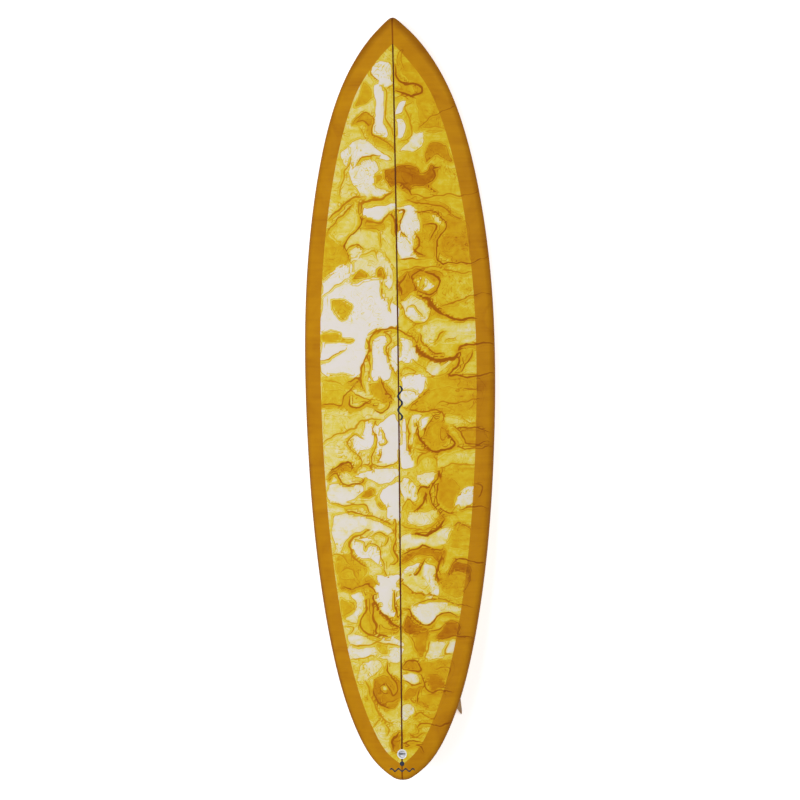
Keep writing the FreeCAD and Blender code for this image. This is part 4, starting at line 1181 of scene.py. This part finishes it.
def tinted_laminate():
    """Polyester laminate with a poured tint, an amber lap band and a polished gloss coat."""
    material, tree, shader = new_material(
        "tinted_polyester_laminate",
        Roughness=0.42, IOR=POLYESTER_IOR, Specular_IOR_Level=0.1, Coat_Weight=0.3, Coat_Roughness=0.05,
        Coat_IOR=POLYESTER_IOR,
    )
    place = add(tree, "TexCoord").outputs["Object"]
    pour = add(tree, "Attribute", attribute_name="pour").outputs["Fac"]
    from_lap = add(tree, "Attribute", attribute_name="from_lap").outputs["Fac"]
    strength = weigh(tree, pour, eddies(tree, place, EDDY, 3.0, 2.2), EDDY_WEIGHT)
    strength = weigh(tree, strength, eddies(tree, place, CURL, 2.0, 2.6), CURL_WEIGHT)
    near_lap = add(
        tree, "MapRange",
        {"Value": from_lap, "From Min": 110.0, "From Max": 10.0, "To Min": 0.05, "To Max": 0.34},
    )
    strength = weigh(
        tree, strength, streaks(tree, place, STREAK_LENGTH, STREAK_WIDTH, 4.0), near_lap.outputs[0]
    )
    strength = weigh(tree, strength, hairlines(tree, place), HAIRLINE_WEIGHT)
    strength = drawn_lines(tree, place, strength)
    window = add(tree, "ValToRGB", {"Fac": strength}, stops=TINT_STOPS).outputs["Color"]
    band = band_colour(tree, place, drawn_lines(tree, place, pour))
    over = add(tree, "Math", {0: from_lap, 1: 0.0}, operation="LESS_THAN").outputs[0]
    colour = add(tree, "Mix", {0: over, 6: window, 7: band}, data_type="RGBA").outputs[2]
    colour = stringer_line(tree, place, colour, over)
    # Darker over the outer edge of the rail and the lap below: partly the doubled cloth, partly painted shade
    # where the rail curves away.
    rail = add(tree, "MapRange", {"Value": from_lap, "From Min": -34.0, "From Max": -50.0}).outputs[0]
    colour = add(
        tree, "Mix", {0: rail, 6: colour, 7: linear(DOUBLED_CLOTH_AND_RAIL_SHADE)}, data_type="RGBA", blend_type="MULTIPLY"
    ).outputs[2]
    fine, slow = gloss_bump(tree, place)
    wire(tree, shader, Base_Color=colour, Normal=fine, Coat_Normal=slow)
    return material


coat_with(deck_skin, tinted_laminate())
print("the deck is tinted with", len(TINT_STOPS), "shades")

# %% [markdown]
# ### Amber bottom coat
#
# The bottom cloth is soaked in one solid amber, mixed in a bucket, so it shows only slow clouds, a
# few darker swirls and the stringer as a faint line. It has the same gloss coat as the deck.

# %% Amber bottom


def amber_bottom():
    """Solid amber polyester over glass cloth, glossed."""
    material, tree, shader = new_material(
        "amber_polyester_hot_coat",
        Roughness=0.42, IOR=POLYESTER_IOR, Specular_IOR_Level=0.1, Coat_Weight=0.3, Coat_Roughness=0.05,
        Coat_IOR=POLYESTER_IOR,
    )
    place = add(tree, "TexCoord").outputs["Object"]
    cloud = weigh(tree, 0.45, eddies(tree, place, 210.0, 3.0, 1.6), 1.1)
    cloud = weigh(tree, cloud, eddies(tree, place, 60.0, 3.0, 3.0), 0.25)
    stops = [(0.0, "#cf9a12"), (1.0, "#9a5a00"), (0.35, "#c58b07"), (0.6, "#ba7c02"), (0.8, "#aa6a00")]
    colour = add(tree, "ValToRGB", {"Fac": cloud}, stops=stops).outputs["Color"]
    over = add(tree, "Math", {0: cloud, 1: -1.0}, operation="GREATER_THAN").outputs[0]
    fine, slow = gloss_bump(tree, place)
    colour = stringer_line(tree, place, colour, over)
    wire(tree, shader, Base_Color=colour, Normal=fine, Coat_Normal=slow)
    return material


coat_with(bottom_skin, amber_bottom())

# %% [markdown]
# ### What lies inside
#
# The blank is blown polyurethane foam: off-white, matt and full of fine closed cells. The stringer
# is basswood with long straight grain. The two inner cloths are glass in clear and amber resin, and
# their plain weave shows at the cut edges.

# %% Foam, wood and cloth
FOAM_CELL = 1.1
GRAIN_WIDTH = 1.4
CLOTH_THREAD = 1.2


def foam_blank():
    """Blown polyurethane foam, with cells drawn a little larger than life so that they show."""
    material, tree, shader = new_material("polyurethane_foam", Roughness=0.95, IOR=1.45)
    place = add(tree, "TexCoord").outputs["Object"]
    cells = add(tree, "TexVoronoi", {"Vector": place, "Scale": per_metre(FOAM_CELL)})
    stops = [(0.0, "#cfc9b8"), (1.0, "#f1ede1"), (0.5, "#eae5d6")]
    colour = add(tree, "ValToRGB", {"Fac": cells.outputs["Distance"]}, stops=stops).outputs["Color"]
    bump = add(tree, "Bump", {"Height": cells.outputs["Distance"], "Strength": 0.5, "Distance": 0.0003})
    wire(tree, shader, Base_Color=colour, Normal=bump.outputs[0])
    return material


def basswood():
    """Planed basswood, its grain running the length of the board."""
    material, tree, shader = new_material("planed_basswood", Roughness=0.6, IOR=1.5)
    place = add(tree, "TexCoord").outputs["Object"]
    grain = weigh(tree, 0.5, streaks(tree, place, GRAIN_WIDTH, 90.0, 4.0), 1.3)
    stops = [(0.0, "#8d7144"), (1.0, "#dcc59a"), (0.5, "#c4a873")]
    colour = add(tree, "ValToRGB", {"Fac": grain}, stops=stops).outputs["Color"]
    bump = add(tree, "Bump", {"Height": grain, "Strength": 0.3, "Distance": 0.0002})
    wire(tree, shader, Base_Color=colour, Normal=bump.outputs[0])
    return material


def glass_cloth(name, dark, light):
    """Plain-woven glass in cured resin, between two shades."""
    material, tree, shader = new_material(name, Roughness=0.3, IOR=POLYESTER_IOR, Coat_Weight=0.4)
    place = add(tree, "TexCoord").outputs["Object"]
    ways = []
    for direction in ("X", "Y"):
        thread = add(
            tree, "TexWave", {"Vector": place, "Scale": per_metre(CLOTH_THREAD) / 20, "Distortion": 0.4},
            bands_direction=direction,
        )
        ways.append(thread.outputs["Fac"])
    weave = add(tree, "Math", {0: ways[0], 1: ways[1]}, operation="MAXIMUM").outputs[0]
    colour = add(tree, "ValToRGB", {"Fac": weave}, stops=[(0.0, dark), (1.0, light)]).outputs["Color"]
    bump = add(tree, "Bump", {"Height": weave, "Strength": 0.3, "Distance": 0.0002})
    wire(tree, shader, Base_Color=colour, Normal=bump.outputs[0])
    return material


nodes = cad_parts
foam = foam_blank()
for name in ("foam_left", "foam_right"):
    coat_with(nodes[name], foam)
coat_with(nodes["stringer"], basswood())
coat_with(nodes["deck_patch"], glass_cloth("clear_glass_cloth", "#c9c2a8", "#e6e0cc"))
coat_with(nodes["bottom_laminate"], glass_cloth("amber_glass_cloth", "#a06000", "#c38a08"))
print("inner pieces finished")

# %% [markdown]
# ### Plug, boxes, bar and screws
#
# The leash plug and the fin boxes are injection-moulded white plastic, sanded flush with the glass,
# so fine scratches run over the moulder's satin. The bar and the grub screws are stainless steel,
# turned from rod, and keep faint rings round their own length.

# %% Plastic and steel
SCRATCH = 0.9
TURNING_MARK = 0.35


def moulded_plastic(name, dark, light):
    """Moulded glass-filled plastic, sanded flush and handled."""
    material, tree, shader = new_material(name, Roughness=0.38, IOR=1.5)
    place = add(tree, "TexCoord").outputs["Object"]
    handled = add(tree, "TexNoise", {"Vector": place, "Scale": per_metre(9.0), "Detail": 4.0})
    stops = [(0.35, dark), (0.65, light)]
    colour = add(tree, "ValToRGB", {"Fac": handled.outputs["Fac"]}, stops=stops).outputs["Color"]
    sanded = streaks(tree, place, SCRATCH, 14.0, 3.0)
    rough = weigh(tree, 0.38, sanded, 0.25)
    bump = add(tree, "Bump", {"Height": sanded, "Strength": 0.15, "Distance": 0.0001})
    wire(tree, shader, Base_Color=colour, Roughness=rough, Normal=bump.outputs[0])
    return material


def turned_steel():
    """Stainless steel rod, with rings from the lathe and a dull film of salt."""
    material, tree, shader = new_material("turned_stainless_steel", Metallic=1.0, Roughness=0.25)
    place = add(tree, "TexCoord").outputs["Object"]
    rings = add(tree, "TexWave", {"Vector": place, "Scale": per_metre(TURNING_MARK) / 20, "Distortion": 1.5})
    film = add(tree, "TexNoise", {"Vector": place, "Scale": per_metre(2.5), "Detail": 4.0})
    stops = [(0.3, "#b9bbbd"), (0.7, "#d7d8d8")]
    colour = add(tree, "ValToRGB", {"Fac": film.outputs["Fac"]}, stops=stops).outputs["Color"]
    rough = weigh(tree, 0.18, film.outputs["Fac"], 0.25)
    bump = add(tree, "Bump", {"Height": rings.outputs["Fac"], "Strength": 0.1, "Distance": 0.00005})
    wire(tree, shader, Base_Color=colour, Roughness=rough, Normal=bump.outputs[0])
    return material


coat_with(nodes["leash_cup"], moulded_plastic("white_moulded_plug", "#d9dadd", "#ececee"))
box_plastic = moulded_plastic("white_moulded_fin_box", "#d4d3cd", "#e6e5df")
steel = turned_steel()
for name in ("left_fin_box", "right_fin_box"):
    coat_with(nodes[name], box_plastic)
coat_with(nodes["leash_bar"], steel)
for side in ("left", "right"):
    for end in ("front", "rear"):
        coat_with(nodes[f"{side}_{end}_screw"], steel)
print("hardware finished")

# %% [markdown]
# ### Fins
#
# The fins are foiled from a sheet of many glass layers in amber resin. Grinding the foil cuts down
# through the layers, so their edges show as fine contour lines that follow the thickness, as on a
# map. Bands that run down the blade, bent a little by noise, give that look.

# %% Fibreglass fins
LAYER_SPACING = 7.0


def layered_fibreglass():
    """Ground and polished fibreglass sheet in amber resin."""
    material, tree, shader = new_material(
        "layered_fibreglass",
        Roughness=0.3, IOR=POLYESTER_IOR, Coat_Weight=0.6, Coat_Roughness=0.08,
        Transmission_Weight=0.12,
    )
    place = add(tree, "TexCoord").outputs["Object"]
    layers = add(
        tree, "TexWave",
        {
            "Vector": place, "Scale": per_metre(LAYER_SPACING) / 20,
            "Distortion": 2.5, "Detail": 1.0, "Detail Scale": 0.6,
        },
        bands_direction="Y", wave_profile="SIN",
    )
    cloud = eddies(tree, place, 40.0, 3.0, 0.5)
    shade = weigh(tree, 0.4, cloud, 0.7)
    shade = weigh(tree, shade, layers.outputs["Fac"], 0.16)
    stops = [(0.0, "#d2a02a"), (1.0, "#8a4f00"), (0.45, "#c18a10"), (0.7, "#aa6f04")]
    colour = add(tree, "ValToRGB", {"Fac": shade}, stops=stops).outputs["Color"]
    weave = add(tree, "TexNoise", {"Vector": place, "Scale": per_metre(CLOTH_THREAD), "Detail": 2.0})
    bump = add(tree, "Bump", {"Height": weave.outputs["Fac"], "Strength": 0.08, "Distance": 0.0002})
    wire(tree, shader, Base_Color=colour, Normal=bump.outputs[0])
    return material


fibreglass = layered_fibreglass()
for name in ("left_fin", "right_fin"):
    coat_with(nodes[name], fibreglass)
print("fins finished")

# %% [markdown]
# ## Emblems
#
# Paper emblems are laid on the sanded deck and drowned in the gloss coat, so they have no edge to
# feel. Their CAD solids lie exactly level with the deck, and two surfaces in one place flicker in a
# render. So each is copied, its loose triangles are merged, and the copy stands a hair proud.

# %% Emblems
PROUD = 0.12
ink, ink_tree, ink_shader = new_material(
    "printed_rice_paper", Roughness=0.5, IOR=1.5, Coat_Weight=0.7, Coat_Roughness=0.06
)
ink_place = add(ink_tree, "TexCoord").outputs["Object"]
fibres = add(ink_tree, "TexNoise", {"Vector": ink_place, "Scale": per_metre(3.0), "Detail": 5.0})
ink_stops = [(0.3, "#1d2230"), (0.75, "#3a4152")]
ink_colour = add(ink_tree, "ValToRGB", {"Fac": fibres.outputs["Fac"]}, stops=ink_stops)
ink_tree.links.new(ink_colour.outputs["Color"], ink_shader.inputs["Base Color"])

emblem_copies = []
for name in ("deck_emblem", "tail_emblem_wave", "tail_emblem_dot"):
    copy = bpy.data.objects.new(name + "_print", nodes[name].data.copy())
    bpy.context.scene.collection.objects.link(copy)
    pick(copy)
    bpy.ops.object.mode_set(mode="EDIT")
    bpy.ops.mesh.select_all(action="SELECT")
    bpy.ops.mesh.remove_doubles(threshold=0.005 * MM)
    bpy.ops.transform.translate(value=tuple(turn @ np.array([0, 0, PROUD * MM])))
    bpy.ops.object.mode_set(mode="OBJECT")
    bpy.ops.object.shade_smooth_by_angle(angle=SMOOTH_ANGLE)
    coat_with(copy, ink)
    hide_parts(name)
    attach(copy, "board")
    emblem_copies.append(copy)
print("emblems:", [copy.name for copy in emblem_copies])

# %% [markdown]
# ## Joining the frame
#
# Each new piece rides on the board, and the CAD piece that it stands for is hidden.

# %% Ride
for skin, node_name, finish in (
    (deck_skin, "deck_laminate", "amber_laminate"),
    (bottom_skin, "bottom_hot_coat", "bottom_resin"),
):
    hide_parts(node_name)
    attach(skin, "board")
print("skins ride on the board")

# %% [markdown]
# ## Floor, light and camera
#
# The board lies on a plain pale floor, which is clear from below, so that the bottom can be seen.
# Two broad soft lights hang above, one to each side, and are kept out of the gloss, so that the flat
# deck stays clear of glare. The camera looks straight down on the tilted deck through a long lens, a
# little from the right, so the outline is not distorted.

# %% Floor
FLOOR_SIZE = 40.0
bpy.ops.mesh.primitive_plane_add(size=FLOOR_SIZE, location=(0, 0, 0))
floor = bpy.context.object
floor.name = "floor"
paint, paint_tree, paint_shader = new_material(
    "pale_floor_paint", Roughness=0.9, Emission_Color=(1.0, 1.0, 1.0, 1.0), Emission_Strength=0.55
)
floor_place = add(paint_tree, "TexCoord").outputs["Object"]
floor_noise = add(paint_tree, "TexNoise", {"Vector": floor_place, "Scale": 2.0, "Detail": 3.0})
floor_stops = [(0.3, "#f3f3f3"), (0.7, "#fafafa")]
floor_colour = add(paint_tree, "ValToRGB", {"Fac": floor_noise.outputs["Fac"]}, stops=floor_stops)
paint_tree.links.new(floor_colour.outputs["Color"], paint_shader.inputs["Base Color"])
clear = add(paint_tree, "BsdfTransparent").outputs["BSDF"]
underside = add(paint_tree, "NewGeometry").outputs["Backfacing"]
one_sided = add(paint_tree, "MixShader", {0: underside, 1: paint_shader.outputs["BSDF"], 2: clear})
paint_tree.links.new(one_sided.outputs[0], paint_tree.nodes["Material Output"].inputs["Surface"])
coat_with(floor, paint)
floor.visible_glossy = False

# %% Lights
world = bpy.data.worlds.new("studio")
bpy.context.scene.world = world
world.use_nodes = True
background = world.node_tree.nodes["Background"]
background.inputs["Color"].default_value = (1.0, 0.99, 0.97, 1.0)
background.inputs["Strength"].default_value = 0.22
bpy.context.scene.view_settings.view_transform = "Standard"


def soft_box(name, place, aim, size, power):
    """A large square light at a place, turned towards a point."""
    light = bpy.data.lights.new(name, "AREA")
    light.shape, light.size, light.energy = "SQUARE", size, power
    lamp = bpy.data.objects.new(name, light)
    bpy.context.scene.collection.objects.link(lamp)
    lamp.location = place
    lamp.visible_glossy = False
    lamp.rotation_euler = (Vector(aim) - Vector(place)).to_track_quat("-Z", "Y").to_euler()
    return lamp


soft_box("key_light", (-2.0, 0.3, 4.4), (0, 0, 0.1), 3.0, 150)
soft_box("fill_light", (2.2, 0.3, 4.4), (0, 0, 0.1), 3.0, 82)

# %% Camera
CAMERA_FROM_RIGHT = math.radians(6.3)
CAMERA_ROLL = math.radians(0.58)
CAMERA_DISTANCE = 9.0
SENSOR = 36.0
BOARD_SHARE_OF_FRAME = 0.9470
camera_data = bpy.data.cameras.new("camera")
camera = bpy.data.objects.new("camera", camera_data)
bpy.context.scene.collection.objects.link(camera)
bpy.context.scene.camera = camera
board_x, board_y, board_z = (Vector(turn[:, i]) for i in range(3))
back = board_x * math.sin(CAMERA_FROM_RIGHT) + board_z * math.cos(CAMERA_FROM_RIGHT)
across = board_y.cross(back).normalized()
up = board_y * math.cos(CAMERA_ROLL) + across * math.sin(CAMERA_ROLL)
across = up.cross(back)
middle = Vector(stand(np.array([0, LENGTH / 2, float(rocker(np.array(LENGTH / 2))) + 0.5 * MAX_THICKNESS])))
camera.location = middle + back * CAMERA_DISTANCE
camera.rotation_euler = Matrix((across, up, back)).transposed().to_euler()
camera_data.sensor_width = SENSOR
camera_data.lens = BOARD_SHARE_OF_FRAME * SENSOR * CAMERA_DISTANCE / (LENGTH * MM)
camera_data.clip_end = 100.0
print("lens:", round(camera_data.lens, 1), "mm")
